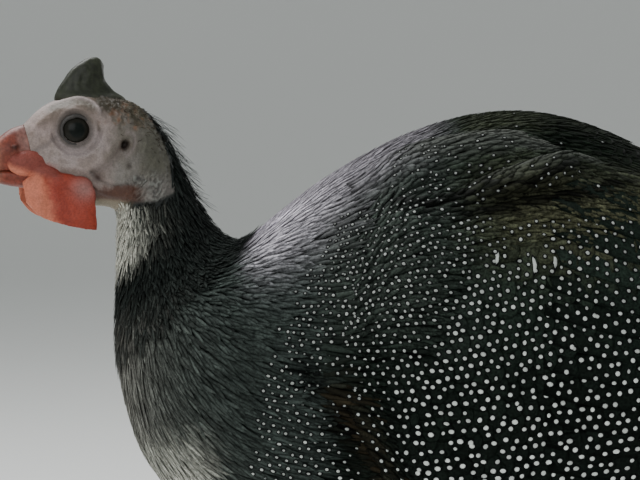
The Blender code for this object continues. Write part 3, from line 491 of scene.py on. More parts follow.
def dress(piece, material, replaced):
    """Gives a piece its material, lets it ride the root and hides the parts that it stands for."""
    piece.data.materials.clear()
    piece.data.materials.append(MATERIALS[material])
    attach(piece, "root")
    if replaced:
        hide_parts(*replaced)


def place_piece(mesh, material, replaced=()):
    """Adds a finished mesh as a piece of the same name."""
    dress(linked(mesh.name, mesh), material, replaced)


def set_tint(mesh, tint):
    tint = np.asarray(tint, float).reshape(-1, 3)
    layer = mesh.color_attributes.new(name="tint", type="FLOAT_COLOR", domain="POINT")
    layer.data.foreach_set("color", np.hstack([tint, np.ones((len(tint), 1))]).astype(np.float32).ravel())


def set_uv(mesh, name, uv):
    """A UV map from one pair of numbers for each vertex."""
    corners = np.empty(len(mesh.loops), np.int32)
    mesh.loops.foreach_get("vertex_index", corners)
    layer = mesh.uv_layers.new(name=name)
    layer.data.foreach_set("uv", np.asarray(uv, np.float32).reshape(-1, 2)[corners].ravel())


def grid_faces(rows, columns, wraps):
    """Quads over a grid of points, column by column round each row."""
    i, j = np.meshgrid(np.arange(rows - 1), np.arange(columns if wraps else columns - 1), indexing="ij")
    k = (j + 1) % columns
    corners = (i * columns + j, i * columns + k, (i + 1) * columns + k, (i + 1) * columns + j)
    return np.stack(corners, -1).reshape(-1, 4)


def tube_mesh(name, rings):
    """A closed skin over equal rings, its ends drawn in to a small hole and filled."""
    rings = np.asarray(rings, float)
    ends = []
    for ring, sign in ((rings[0], 1), (rings[-1], -1)):
        centre = ring.mean(0)
        ends.append([centre + (ring - centre) * k for k in (0.05, 0.6)][::sign])
    full = np.concatenate([np.array(ends[0]), rings, np.array(ends[1])])
    mesh = new_mesh(name, full, grid_faces(len(full), full.shape[1], True))
    bm = bmesh.new()
    bm.from_mesh(mesh)
    bmesh.ops.holes_fill(bm, edges=[edge for edge in bm.edges if edge.is_boundary], sides=0)
    bm.to_mesh(mesh)
    bm.free()
    outward(mesh)
    return mesh


def with_ends(rings):
    """Values for all points of a tube, its drawn-in ends too, from those of its rings."""
    return np.concatenate([rings[:1], rings[:1], rings, rings[-1:], rings[-1:]]).reshape(-1, 3)


def points_of(mesh):
    flat = np.empty(len(mesh.vertices) * 3, np.float32)
    mesh.vertices.foreach_get("co", flat)
    return flat.reshape(-1, 3).astype(float)


def fine_noise(points, scale, octaves=3):
    """Fractal noise, about -1 to 1, for each point."""
    return np.array([noise.fractal(Vector(p) * scale, 0.6, 2.0, octaves) for p in points])


# Each kind of blade: where its rows lie along it, its half width at each, and its columns.
FINE_BLADE = (
    np.array((0, 0.10, 0.26, 0.44, 0.62, 0.79, 0.92, 1.0)),
    np.array((0.30, 0.60, 0.86, 0.97, 1.0, 0.90, 0.62, 0.14)),
    np.array((-1, -0.55, 0, 0.55, 1)),
)
LONG_BLADE = (
    np.array((0, 0.08, 0.2, 0.35, 0.5, 0.65, 0.8, 0.9, 0.96, 1.0)),
    np.array((0.25, 0.5, 0.8, 0.95, 1.0, 1.0, 0.96, 0.82, 0.58, 0.12)),
    np.array((-1, -0.55, -0.06, 0.06, 0.55, 1)),
)
SLIM_BLADE = (
    np.array((0, 0.3, 0.6, 0.85, 1.0)),
    np.array((0.7, 1.0, 0.9, 0.6, 0.08)),
    np.array((-1.0, 0.0, 1.0)),
)
BLADES = (FINE_BLADE, LONG_BLADE, SLIM_BLADE)
FINE, LONG, SLIM = range(3)

# One row of numbers for each feather of a coat: root, turn from the lie, sizes, how high its
# root and tip stand, how much its edges drop, how far it leans, which blade, and its colour.
Coat = namedtuple("Coat", "p q yaw length half root tip camber lean kind tint")


def make_coat(p, q, tint, **columns):
    """A coat from columns given as one number for all feathers or one for each."""
    count = len(p)
    even = {name: np.broadcast_to(np.asarray(value), count) for name, value in columns.items()}
    return Coat(p=p, q=q, tint=np.broadcast_to(tint, (count, 3)), **even)


def part_of(coat, chosen):
    """The chosen feathers of a coat."""
    return Coat(*(column[chosen] for column in coat))


def joined_coats(*coats):
    """Several coats as one."""
    return Coat(*(np.concatenate(columns) for columns in zip(*coats)))


def blade_frame(sheet, coat):
    """Distance over a step of p, the slant of q to p, and distance over a step of q, at the roots."""
    tail_dir, side_dir = sheet.read(sheet.dp, coat.p, coat.q), sheet.read(sheet.dq, coat.p, coat.q)
    pace = span(tail_dir)
    slant = np.sum(tail_dir * side_dir, -1) / pace
    return pace, slant, np.sqrt(np.maximum(np.sum(side_dir**2, -1) - slant**2, 1e-12))


def blade_places(sheet, coat, along, across):
    """Places on the sheet for distances along and across the blades from their roots."""
    pad = (...,) + (None,) * (along.ndim - 1)
    pace, slant, width = blade_frame(sheet, coat)
    yaw = coat.yaw[pad]
    ahead = along * np.cos(yaw) - across * np.sin(yaw)
    dq = (along * np.sin(yaw) + across * np.cos(yaw)) / width[pad]
    return coat.p[pad] + (ahead - dq * slant[pad]) / pace[pad], coat.q[pad] + dq


def blade_lift(coat, along, across):
    """How high places of the blades stand off the sheet."""
    share = np.clip(along / coat.length, 0, 1.1)
    rise = coat.root + (coat.tip - coat.root) * share**0.8
    return rise - coat.camber / coat.half * across**2 + coat.lean * across


def on_blades(sheet, coat, along, across, extra):
    """Points of the blades at distances along and across them from their roots."""
    pad = (...,) + (None,) * (along.ndim - 1)
    p, q = blade_places(sheet, coat, along, across)
    wide = Coat(*(column[pad] for column in coat[:-1]), None)
    return sheet.at(p, q, blade_lift(wide, along, across) + extra)


def topmost(sheet, coat, frame_numbers, near, p, q):
    """The uppermost blade at each place out of those near it, and the place on that blade."""
    pace, slant, width = (column[near] for column in frame_numbers)
    one = Coat(*(column[near] for column in coat[:-1]), None)
    dq = q[:, None] - one.q
    if sheet.wraps:
        dq = (dq + 0.5) % 1 - 0.5
    ahead, aside = (p[:, None] - one.p) * pace + dq * slant, dq * width
    along = ahead * np.cos(one.yaw) + aside * np.sin(one.yaw)
    across = aside * np.cos(one.yaw) - ahead * np.sin(one.yaw)
    share, profile = along / one.length, np.zeros(along.shape)
    for number, (rows_at, widths, _) in enumerate(BLADES):
        chosen = one.kind == number
        profile[chosen] = np.interp(share[chosen], rows_at, widths)
    inside = (share > 0.02) & (share < 0.99) & (np.abs(across) < one.half * profile)
    height = np.where(inside, blade_lift(one, along, across), -1.0)
    best = np.argmax(height, 1)
    take = np.arange(len(p))
    owner = np.where(height[take, best] > -1.0, near[take, best], -1)
    return owner, along[take, best], across[take, best]


def widening(sheet, owners, along, across):
    """How much wider than at its root a blade lies where the sheet spreads."""
    step = 0.0001
    moved = on_blades(sheet, owners, along, across + step, 0.0)
    return span(moved - on_blades(sheet, owners, along, across, 0.0)) / step


# How many times a spot slides towards its blade's open part, and how many blades it looks at.
FIT_ROUNDS, NEAR_BLADES = 5, 26
# Where along a blade it is looked for: once on a short one and at more places on a long one.
MIDDLE, MORE_PLACES = 0.7, (0.15, 0.3, 0.5, 0.85, 0.97)


def fit_spots(sheet, coat, p, q, radius):
    """Lays spots on the uppermost blades and slides each one to lie within its blade's open part."""
    long_ones = np.flatnonzero(coat.kind == LONG)
    numbered = np.concatenate([np.arange(len(coat.p))] + [long_ones] * len(MORE_PLACES))
    shares = np.concatenate([np.full(len(coat.p), MIDDLE), np.repeat(MORE_PLACES, len(long_ones))])
    samples = part_of(coat, numbered)
    middle = on_blades(sheet, samples, samples.length * shares, shares * 0.0, 0.0)
    tree = KDTree(len(middle))
    for index, place in enumerate(middle):
        tree.insert(place, index)
    tree.balance()
    count = min(NEAR_BLADES, len(middle))
    near = np.array([[hit[1] for hit in tree.find_n(place, count)] for place in sheet.at(p, q, 0.0)])
    near = numbered[near]
    numbers = blade_frame(sheet, coat)
    owner, along, across = topmost(sheet, coat, numbers, near, p, q)
    turns = spot_turns()
    for attempt in range(FIT_ROUNDS):
        kept = owner >= 0
        owner, along, across, radius, near = (v[kept] for v in (owner, along, across, radius, near))
        owners = part_of(coat, owner)
        rim_along = along[:, None] + radius[:, None] * turns[0]
        rim_across = across[:, None] + (radius / widening(sheet, owners, along, across))[:, None] * turns[1]
        rim_p, rim_q = blade_places(sheet, owners, rim_along, rim_across)
        around = np.repeat(near, SPOT_SIDES, 0)
        over, _, _ = topmost(sheet, coat, numbers, around, rim_p.ravel(), rim_q.ravel())
        off = over.reshape(rim_p.shape) != owner[:, None]
        if attempt < FIT_ROUNDS - 1:
            total = np.maximum(off.sum(1), 1)
            along = along - radius * 0.5 * (off * turns[0]).sum(1) / total * (off.any(1))
            across = across - radius * 0.5 * (off * turns[1]).sum(1) / total * (off.any(1))
            radius = radius * np.where(off.sum(1) > 1, 0.95, 1.0)
    fits = (off.sum(1) <= 3) | (coat.kind[owner] == SLIM)
    return owner[fits], along[fits], across[fits], radius[fits]


# The side of each feather's patch of the map.
PATCH = 0.0035


def root_places(owners):
    """Where the blades' roots lie on the map."""
    return np.stack([owners.q % 1, np.clip(owners.p, 0, 1)], -1) * 0.98 + 0.01


def coat_mesh(name, sheet, coat, thickness):
    """All feathers of a coat as one mesh of closed blades, each with its patch of the map."""
    rows_at, widths, columns_at = BLADES[int(coat.kind[0])]
    rows, columns, count = len(rows_at), len(columns_at), len(coat.p)
    t = np.broadcast_to(rows_at[None, :, None], (count, rows, columns))
    c = np.broadcast_to(columns_at[None, None, :], (count, rows, columns))
    along = coat.length[:, None, None] * t
    across = coat.half[:, None, None] * widths[None, :, None] * c
    inner = (slice(None), slice(1, rows - 1), slice(1, columns - 1))
    top = on_blades(sheet, coat, along, across, 0.0)
    under = on_blades(sheet, coat, along[inner], across[inner], -thickness)
    points = np.concatenate([top.reshape(count, -1, 3), under.reshape(count, -1, 3)], 1)
    upper = np.arange(rows * columns).reshape(rows, columns)
    lower = upper.copy()
    lower[1:-1, 1:-1] = rows * columns + np.arange((rows - 2) * (columns - 2)).reshape(rows - 2, columns - 2)
    sides = []
    for layer, flip in ((upper, sheet.hand < 0), (lower, sheet.hand > 0)):
        quads = np.stack([layer[:-1, :-1], layer[:-1, 1:], layer[1:, 1:], layer[1:, :-1]], -1).reshape(-1, 4)
        sides.append(quads[:, ::-1] if flip else quads)
    faces = np.concatenate(sides)[None] + (np.arange(count) * points.shape[1])[:, None, None]
    mesh = new_mesh(name, points, faces.reshape(-1, 4))
    both = [np.stack([c[part], t[part]], -1).reshape(count, -1, 2) for part in (slice(None), inner)]
    blade_uv = np.concatenate(both, 1)
    set_uv(mesh, "OFBake", root_places(coat)[:, None] + (blade_uv * (0.5, 1) - (0, 0.5)) * PATCH)
    set_uv(mesh, "blade", blade_uv)
    # Each blade is darker towards its root: painted shade where the blade above overlaps it.
    root_shade = np.where(coat.kind == SLIM, 0.85, 0.62)[:, None]
    fade = root_shade + (1 - root_shade) * eased(blade_uv[..., 1] / 0.4)
    set_tint(mesh, coat.tint[:, None] * fade[..., None])
    return mesh


# A spot's sides, and its rings from the top down: share of its radius, and height over the blade.
SPOT_SIDES = 8
PEARL_LEVELS = ((0.55, 0.00022), (1.0, 0.00009), (0.55, -0.0001))
RING_LEVELS = ((1.0, 0.00008), (0.9, -0.0001))


def spot_turns():
    """Cosine and sine of each corner's angle."""
    angle = np.arange(SPOT_SIDES) * 2 * math.pi / SPOT_SIDES
    return np.stack([np.cos(angle), np.sin(angle)])


def spot_mesh(name, sheet, owners, along, across, radius, stretch, levels, tint):
    """Round beads on the blades, ring by ring; a much narrowed one is a bar that bends."""
    count, n, turns = len(along), SPOT_SIDES, spot_turns()
    ahead = radius[:, None] * stretch[:, None] * turns[0]
    aside = (radius / np.sqrt(stretch) / widening(sheet, owners, along, across))[:, None] * turns[1]
    bend = np.where(stretch < 0.6, -0.12, 0.0)[:, None] * aside**2 / radius[:, None]
    rings = []
    for share, lift in levels:
        ring_along = along[:, None] + ahead * share + bend * share**2
        rings.append(on_blades(sheet, owners, ring_along, across[:, None] + aside * share, lift))
    k = np.arange(n)
    m = (k + 1) % n
    caps = np.array([(0, 1, 2, 3), (0, 3, 4, 7), (4, 5, 6, 7)])
    bands = [np.stack([k, m, m + n, k + n], -1) + n * i for i in range(len(levels) - 1)]
    faces = np.concatenate([*bands, caps[:, ::-1], caps + (len(levels) - 1) * n])
    if sheet.hand < 0:
        faces = faces[:, ::-1]
    faces = faces[None] + (np.arange(count) * len(levels) * n)[:, None, None]
    mesh = new_mesh(name, np.concatenate(rings, 1), faces.reshape(-1, 4))
    place = root_places(owners) + np.stack([across, along], -1) * 0.35
    ring_uv = turns.T * PATCH / 2
    set_uv(mesh, "OFBake", place[:, None] + np.concatenate([ring_uv * share for share, _ in levels])[None])
    set_tint(mesh, np.repeat(tint[:, None], len(levels) * n, 1))
    return mesh


def staggered_roots(sheet, p_span, q_span, step, gap, rng, wobble=0.13):
    """Roots in staggered rows: step parts the rows and gap the roots in a row, each as a number or by p."""
    def at_row(distance):
        return distance(p) if callable(distance) else distance

    fine = np.linspace(*q_span, 241)
    found = []
    p, odd = p_span[0], 0
    while p <= p_span[1]:
        line = sheet.at(np.full_like(fine, p), fine, 0.0)
        run = run_along(line)
        count = max(int(run[-1] / at_row(gap)), 2)
        marks = (np.arange(count) + 0.25 + 0.5 * odd) / count * run[-1]
        q = np.interp(marks + rng.uniform(-wobble, wobble, count) * at_row(gap), run, fine)
        pace = span(sheet.read(sheet.dp, np.full(count, p), q))
        mean = np.mean(span(sheet.read(sheet.dp, np.full_like(fine, p), fine)))
        here = p + rng.uniform(-wobble, wobble, count) * at_row(step) / pace
        found.append(np.stack([here, q, np.clip(pace / mean, 0.6, 1.8)]))
        p += at_row(step) / mean
        odd = 1 - odd
    return np.concatenate(found, 1)


# The spots lie on a lattice that widens away from the shoulder, measured in side view. Spacing
# grows evenly with distance from the centre as far as the end, and is the same beyond it.
FIELD_CENTRE, FIELD_RATE, FIELD_START, FIELD_END = (-0.1514, 0.3730), 0.0203, 0.105, 0.224
# The distance of the lattice's rows, and how near its point a place of the sheet is, in spacings.
ROW_STEP, NEAR_ENOUGH = 0.866, 0.3
# Spots fade out forward of this line over the breast, given as x at each z.
SPOT_FRONT = ((0.150, -0.116), (0.1646, -0.115), (0.1986, -0.113),
              (0.2284, -0.1025), (0.2582, -0.0877), (0.300, -0.070))
# The nearly plain brown gap below the wing's front.
BROWN_GAP = ((-0.0790, 0.2090), (-0.0705, 0.1960), (-0.0630, 0.1810), (-0.0575, 0.1650))


def spot_size(x, z):
    """Width of the spots at places in side view: specks on the mantle, pearls on the flank."""
    size = (0.0015 + 0.0085 * (0.262 - z)) * np.interp(x, (-0.090, -0.060, -0.020), (0.68, 0.80, 1.0))
    size = size * (1 - 0.20 * bell(line_distance(x, z, BROWN_GAP), 0.012))
    return np.clip(size, 0.0009, bpy.context.scene.fowl_coat.largest_spot)


def back_depth(x, z):
    """How far below the back line a place lies in side view."""
    return np.interp(x, SECTIONS[10:, 0], SECTIONS[10:, 1]) - z


def spot_share(x, z):
    """What share of the lattice carries a spot at places in side view."""
    front = np.interp(z, *np.array(SPOT_FRONT).T)
    share = eased((x - front) / 0.010)
    mantle = eased((back_depth(x, z) - 0.013) / 0.012)
    share = share * np.where(x < -0.02, mantle, 1.0)
    edge = 0.2765 + 0.0035 * eased((-0.005 - x) / 0.02) - 0.010 * eased((-0.030 - x) / 0.02)
    plain = eased((z - edge) / 0.003) * eased((x + 0.040) / 0.02) * (1 - eased((x - 0.062) / 0.02))
    brown = bell(line_distance(x, z, BROWN_GAP), 0.0085)
    return share * (1 - 0.95 * plain) * (1 - 0.55 * brown)


def unrolled(sheet):
    """The sheet's points in side view, with what curves away laid out flat beyond it."""
    if not sheet.wraps:
        return sheet.points[..., 0] - FORWARD_SHIFT, sheet.points[..., 2]
    half = sheet.points.shape[1] // 2
    left = sheet.points[:, : half + 1]
    step = np.diff(left, axis=1)
    flat = unit(step[..., ::2]) * span(step)[..., None]
    run = np.concatenate([np.zeros_like(left[:, :1, ::2]), np.cumsum(flat, axis=1)], 1)
    middle = half // 2
    run = run - run[:, middle:middle + 1] + left[:, middle:middle + 1, ::2]
    full = np.concatenate([run, run[:, -2:0:-1]], 1)
    return full[..., 0] - FORWARD_SHIFT, full[..., 1]


def lattice_places(sheet, rng):
    """Where the lattice's points fall on the sheet, and their places in side view."""
    x, z = unrolled(sheet)
    away = (x - FIELD_CENTRE[0]) + 1j * (z - FIELD_CENTRE[1])
    distance = np.abs(away)
    rows, columns = x.shape
    found = []
    for spreading in (True, False):
        if spreading:
            a, b = np.log(distance) / FIELD_RATE, np.angle(away) / FIELD_RATE
        else:
            even = away * np.exp(0.9j) / (FIELD_RATE * FIELD_END)
            a, b = even.real, even.imag
        row = np.round(b / ROW_STEP)
        near = np.round(a - 0.5 * (row % 2))
        gap_a, gap_b = near + 0.5 * (row % 2) - a, row * ROW_STEP - b
        half = (np.arange(columns) > columns // 2).astype(int)[None] if sheet.wraps else 0
        key = (row * 100003 + near) * 2 + half
        order = np.lexsort((np.hypot(gap_a, gap_b).ravel(), key.ravel()))
        _, first = np.unique(key.ravel()[order], return_index=True)
        i, j = np.unravel_index(order[first], x.shape)
        keep = (np.hypot(gap_a, gap_b)[i, j] < NEAR_ENOUGH) & ((distance[i, j] < FIELD_END) == spreading)
        keep &= (i > 0) & (i < rows - 1) & (distance[i, j] > FIELD_START)
        if not sheet.wraps:
            keep &= (j > 0) & (j < columns - 1)
        i, j = i[keep], j[keep]
        right, left = (j + 1) % columns, (j - 1) % columns
        jacobian = np.array([
            [(g[i + 1, j] - g[i - 1, j]) / 2, (g[i, right] - g[i, left]) / 2] for g in (a, b)])
        wobble = rng.normal(0, 0.055, (2, len(i)))
        gap = np.stack([gap_a[i, j], gap_b[i, j]]) + wobble
        det = jacobian[0, 0] * jacobian[1, 1] - jacobian[0, 1] * jacobian[1, 0]
        det = np.where(np.abs(det) < 1e-6, 1e-6, det)
        di = np.clip((gap[0] * jacobian[1, 1] - gap[1] * jacobian[0, 1]) / det, -1.5, 1.5)
        dj = np.clip((gap[1] * jacobian[0, 0] - gap[0] * jacobian[1, 0]) / det, -1.5, 1.5)
        p = (i + di) / (rows - 1)
        q = (j + dj) / columns if sheet.wraps else (j + dj) / (columns - 1)
        found.append(np.stack([p, q % 1 if sheet.wraps else q, x[i, j], z[i, j]]))
    return np.concatenate(found, 1)


# A barred spot: where it lies along its blade, its radius, and how much narrower it is.
BAR_SHARE, BAR_RADIUS, BAR_STRETCH = 0.90, 0.0021, 0.38


def add_spots(name, sheet, coat, places, radius, rng, bars=()):
    """Pearls with a dark ring round each, laid on the uppermost blades of a coat."""
    settings = bpy.context.scene.fowl_coat
    owner, along, across, radius = fit_spots(sheet, coat, places[0], places[1], radius)
    stretch = np.exp(rng.normal(0, 0.09, len(owner)))
    if len(bars):
        none = np.zeros(len(bars))
        added = (
            (owner, bars), (along, coat.length[list(bars)] * BAR_SHARE), (across, none),
            (radius, none + BAR_RADIUS), (stretch, none + BAR_STRETCH),
        )
        owner, along, across, radius, stretch = (np.concatenate(pair) for pair in added)
    bright = eased((radius * 2 - 0.0006) / 0.0014)[:, None]
    owners = part_of(coat, owner)
    low = eased((0.285 - sheet.at(owners.p, owners.q, 0.0)[:, 2:]) / 0.11)
    pearl = np.array(settings.spot_colour) * (0.35 + 0.65 * bright) * (0.76 + 0.36 * low)
    pearl = pearl * rng.uniform(0.66, 1.12, (len(owner), 1))
    dark = np.broadcast_to(np.array(settings.ring_colour), pearl.shape)
    rim = radius * 1.12 + 0.00030 + 0.10 * radius
    for title, size, levels, tint, material in (
        ("_rings", rim, RING_LEVELS, dark, "ring"), ("_spots", radius, PEARL_LEVELS, pearl, "spot"),
    ):
        mesh = spot_mesh(name + title, sheet, owners, along, across, size, stretch, levels, tint)
        place_piece(mesh, material)


def field_spots(name, sheet, coat, rng, bars=()):
    """Spots of the common lattice wherever this coat covers it."""
    p, q, x, z = lattice_places(sheet, rng)
    chosen = rng.random(len(p)) < spot_share(x, z) * 0.985
    p, q, x, z = p[chosen], q[chosen], x[chosen], z[chosen]
    radius = spot_size(x, z) * 0.5 * rng.uniform(0.84, 1.14, len(p))
    add_spots(name, sheet, coat, (p, q), radius, rng, bars)


# Colours of parts of the coat that differ from its ground.
SHOULDER, BREAST = (0.025, 0.032, 0.027), (0.031, 0.040, 0.036)
BROWN, RIDGE = (0.048, 0.049, 0.028), (0.0195, 0.0240, 0.0140)
# The chest's pale colour is partly its paler front feathers and partly painted rim light along its outline.
PALE_CHEST_AND_RIM_LIGHT, GAP_BROWN = (0.225, 0.218, 0.193), (0.020, 0.015, 0.008)
# Painted shade for the valley behind the shoulder feathers.
VALLEY_SHADE = (0.0012, 0.0034, 0.0015)
# The hollow behind the shoulder feathers, which is painted in shade, and lines of painted shade with their
# half widths.
VALLEY = ((0.010, 0.3125), (0.030, 0.3105), (0.048, 0.3060), (0.072, 0.2970))
SHADE_LINES = (
    (((-0.058, 0.2773), (-0.028, 0.2872), (0.000, 0.2930), (0.016, 0.3010)), 0.0027),
    (((-0.034, 0.2795), (-0.010, 0.2850), (0.016, 0.2905), (0.036, 0.2960)), 0.0029),
    (((-0.0960, 0.2235), (-0.0945, 0.2140)), 0.0036),
    (((-0.0830, 0.2030), (-0.0800, 0.1950)), 0.0032),
)


def ground_tint(points, rng, vary=0.16):
    """The feathers' own dark colour at places on the bird, with each a little different."""
    settings = bpy.context.scene.fowl_coat
    x, z = points[:, 0] - FORWARD_SHIFT, points[:, 2]
    depth = back_depth(x, z)
    tint = np.array(settings.ground_colour) * (0.8 + 1.35 * eased((z - 0.200) / 0.065))[:, None]
    tint = tint * (1.0, 1.06, 0.97)
    paint = painter(tint)
    paint(SHOULDER, 0.9 * eased((-0.015 - x) / 0.045) * eased((z - 0.215) / 0.035))
    paint(BREAST, eased((-0.082 - x) / 0.015))
    brown = 0.9 * bell(z - 0.282, 0.019) * eased((x + 0.045) / 0.04) * (1 - eased((x - 0.056) / 0.028))
    paint(BROWN, brown)
    # The lilac-grey band along the back line is partly the mantle feathers' own colour and partly a painted
    # highlight, brightest beside the neck.
    reach = np.interp(x, (-0.108, -0.092, -0.080, -0.050), (0.0085, 0.0120, 0.0120, 0.0075))
    lilac = np.exp(-(np.maximum(depth, 0) / reach) ** 1.5)
    lilac = lilac * eased((-0.028 - x) / 0.020) * eased((x + 0.1225) / 0.013)
    painted_highlight = np.interp(x, (-0.108, -0.098, -0.084, -0.064, -0.040), (2.2, 1.9, 1.25, 0.90, 0.60))[:, None]
    paint(np.array(settings.mantle_colour) * painted_highlight, lilac)
    ridge = eased((0.010 - depth) / 0.004) * eased((x + 0.036) / 0.012) * (1 - eased((x - 0.060) / 0.02))
    paint(RIDGE, ridge)
    front = x - np.interp(z, SECTIONS[14:6:-1, 3], SECTIONS[14:6:-1, 2])
    # Painted rim light along the breast's front outline, over its paler feathers.
    paint(PALE_CHEST_AND_RIM_LIGHT, 0.9 * np.exp(-np.maximum(front, 0) / 0.011) * eased((0.260 - z) / 0.035) * (x < -0.09))
    paint(settings.down_colour, 0.85 * (eased((0.206 - z) / 0.030) * eased((-0.125 - x) / 0.018)))
    paint(GAP_BROWN, 0.9 * bell(line_distance(x + 0.003, z, BROWN_GAP), 0.0068))
    # Painted shade below the shoulder tongues and in the hollows by the wing's front.
    for line, width in SHADE_LINES:
        tint *= (1 - 0.94 * bell(line_distance(x, z, line), width))[:, None]
    # Painted shade in the valley behind the shoulder feathers.
    paint(VALLEY_SHADE, 0.92 * bell(line_distance(x, z, VALLEY), 0.0100))
    return tint * np.exp(rng.normal(0, vary, (len(points), 1)))


def under_wing(points):
    """Where the folded wing hides the body well inside its outline."""
    x, z = points[:, 0] - FORWARD_SHIFT, points[:, 2]
    top, low = smooth_line(WING_TOP, 60), smooth_line(WING_LOW, 60)
    ceiling = np.interp(x, top[:, 0], top[:, 1]) - 0.014
    floor = np.interp(x, low[:, 0], low[:, 1]) + 0.016
    return (x > -0.060) & (x < 0.105) & (z < ceiling) & (z > floor)


def coat_from(sheet, found, length, half, rng, tint=None, yaw=0.07, lean=0.02, **columns):
    """A coat at staggered roots, each feather a little different from the next."""
    p, q, scale = found
    count = len(p)
    if tint is None:
        tint = ground_tint(sheet.at(p, q, 0.0), rng)
    tip = np.broadcast_to(columns.pop("tip"), count) * rng.uniform(0.85, 1.15, count)
    given = {"root": 0.0, "camber": 0.10, "kind": FINE, **columns}
    return make_coat(
        p, q, tint, tip=tip, yaw=rng.normal(0, yaw, count), lean=rng.normal(lean, 0.015, count),
        length=length * scale**0.8 * rng.uniform(0.92, 1.08, count),
        half=half * scale**0.3 * rng.uniform(0.93, 1.07, count), **given)


def place_coat(name, sheet, coat, thickness, material, replaced=()):
    place_piece(coat_mesh(name, sheet, coat, thickness), material, replaced)


def shell_mesh(name, outer, inner):
    """A closed plate between two grids of points."""
    rows, columns = outer.shape[:2]
    count = rows * columns
    index = np.arange(count).reshape(rows, columns)
    edge = np.concatenate([index[:-1, 0], index[-1, :-1], index[:0:-1, -1], index[0, :0:-1]])
    ahead = np.roll(edge, -1)
    rim = np.stack([edge, ahead, ahead + count, edge + count], -1)
    faces = grid_faces(rows, columns, False)
    points = np.concatenate([outer.reshape(-1, 3), inner.reshape(-1, 3)])
    mesh = new_mesh(name, points, np.concatenate([faces, faces[:, ::-1] + count, rim]))
    outward(mesh)
    return mesh


def outward(mesh):
    """Turns a closed mesh's faces outward."""
    bm = bmesh.new()
    bm.from_mesh(mesh)
    bmesh.ops.recalc_face_normals(bm, faces=bm.faces)
    bm.to_mesh(mesh)
    bm.free()
    mesh.shade_smooth()


def add_core(name, sheet, depth, replaced=(), reach=1.0):
    """The dark bed under a sheet of feathers, as a closed plate."""
    p, q = np.linspace(0, reach, 61)[:, None], np.linspace(0, 1, 41)[None]
    mesh = shell_mesh(name, sheet.at(p, q, -0.0003), sheet.at(p, q, -depth))
    set_tint(mesh, ground_tint(points_of(mesh), np.random.default_rng(1), 0.0) * 0.6)
    place_piece(mesh, "feather", replaced)


def node(tree, kind, x, y, given=(), **values):
    """A new node with its place, its own settings and the values given for its sockets."""
    made = tree.nodes.new(kind)
    made.location = (x, y)
    for name, value in values.items():
        setattr(made, name, value)
    for name, value in given:
        made.inputs[name].default_value = value
    return made


def mottle_group():
    """Small light and dark flecks over a colour, and a height that goes with them."""
    group = bpy.data.node_groups.new("fine_mottle", "ShaderNodeTree")
    for name, way, kind, value in (
        ("Colour", "INPUT", "NodeSocketColor", None), ("Scale", "INPUT", "NodeSocketFloat", 900),
        ("Darkest", "INPUT", "NodeSocketFloat", 0.5), ("Lightest", "INPUT", "NodeSocketFloat", 1.5),
        ("Colour", "OUTPUT", "NodeSocketColor", None), ("Height", "OUTPUT", "NodeSocketFloat", None),
    ):
        socket = group.interface.new_socket(name, in_out=way, socket_type=kind)
        if value is not None:
            socket.default_value = value
    enter = node(group, "NodeGroupInput", -800, 0)
    leave = node(group, "NodeGroupOutput", 400, 0)
    place = node(group, "ShaderNodeTexCoord", -800, -300)
    grain = node(group, "ShaderNodeTexNoise", -560, -200, (("Detail", 3.0), ("Roughness", 0.6)))
    spread = node(group, "ShaderNodeMapRange", -340, -200, (("From Min", 0.36), ("From Max", 0.64)))
    tone = node(group, "ShaderNodeMix", 120, 60, (("Factor", 1.0),), data_type="RGBA", blend_type="MULTIPLY")
    for out, into in (
        (place.outputs["Object"], grain.inputs["Vector"]),
        (enter.outputs["Scale"], grain.inputs["Scale"]),
        (grain.outputs["Fac"], spread.inputs["Value"]),
        (enter.outputs["Darkest"], spread.inputs["To Min"]),
        (enter.outputs["Lightest"], spread.inputs["To Max"]),
        (enter.outputs["Colour"], tone.inputs[6]),
        (spread.outputs["Result"], tone.inputs[7]),
        (tone.outputs[2], leave.inputs["Colour"]),
        (grain.outputs["Fac"], leave.inputs["Height"]),
    ):
        group.links.new(out, into)
    return group


def tinted_material(group, name, roughness, flecks, bump, depth, gloss):
    """Takes its colour from the mesh's tint, flecked, with a fine bump."""
    material = bpy.data.materials.new(name)
    material.use_nodes = True
    tree = material.node_tree
    shader = tree.nodes["Principled BSDF"]
    shader.inputs["Roughness"].default_value = roughness
    shader.inputs["Specular IOR Level"].default_value = gloss
    tint = node(tree, "ShaderNodeAttribute", -700, 200, attribute_name="tint")
    mottle = node(tree, "ShaderNodeGroup", -460, 200, node_tree=group)
    for name, value in zip(("Scale", "Darkest", "Lightest"), flecks):
        mottle.inputs[name].default_value = value
    relief = node(tree, "ShaderNodeBump", -220, -160, (("Strength", bump), ("Distance", depth)))
    tree.links.new(tint.outputs["Color"], mottle.inputs["Colour"])
    tree.links.new(mottle.outputs["Colour"], shader.inputs["Base Color"])
    tree.links.new(mottle.outputs["Height"], relief.inputs["Height"])
    tree.links.new(relief.outputs["Normal"], shader.inputs["Normal"])
    return material


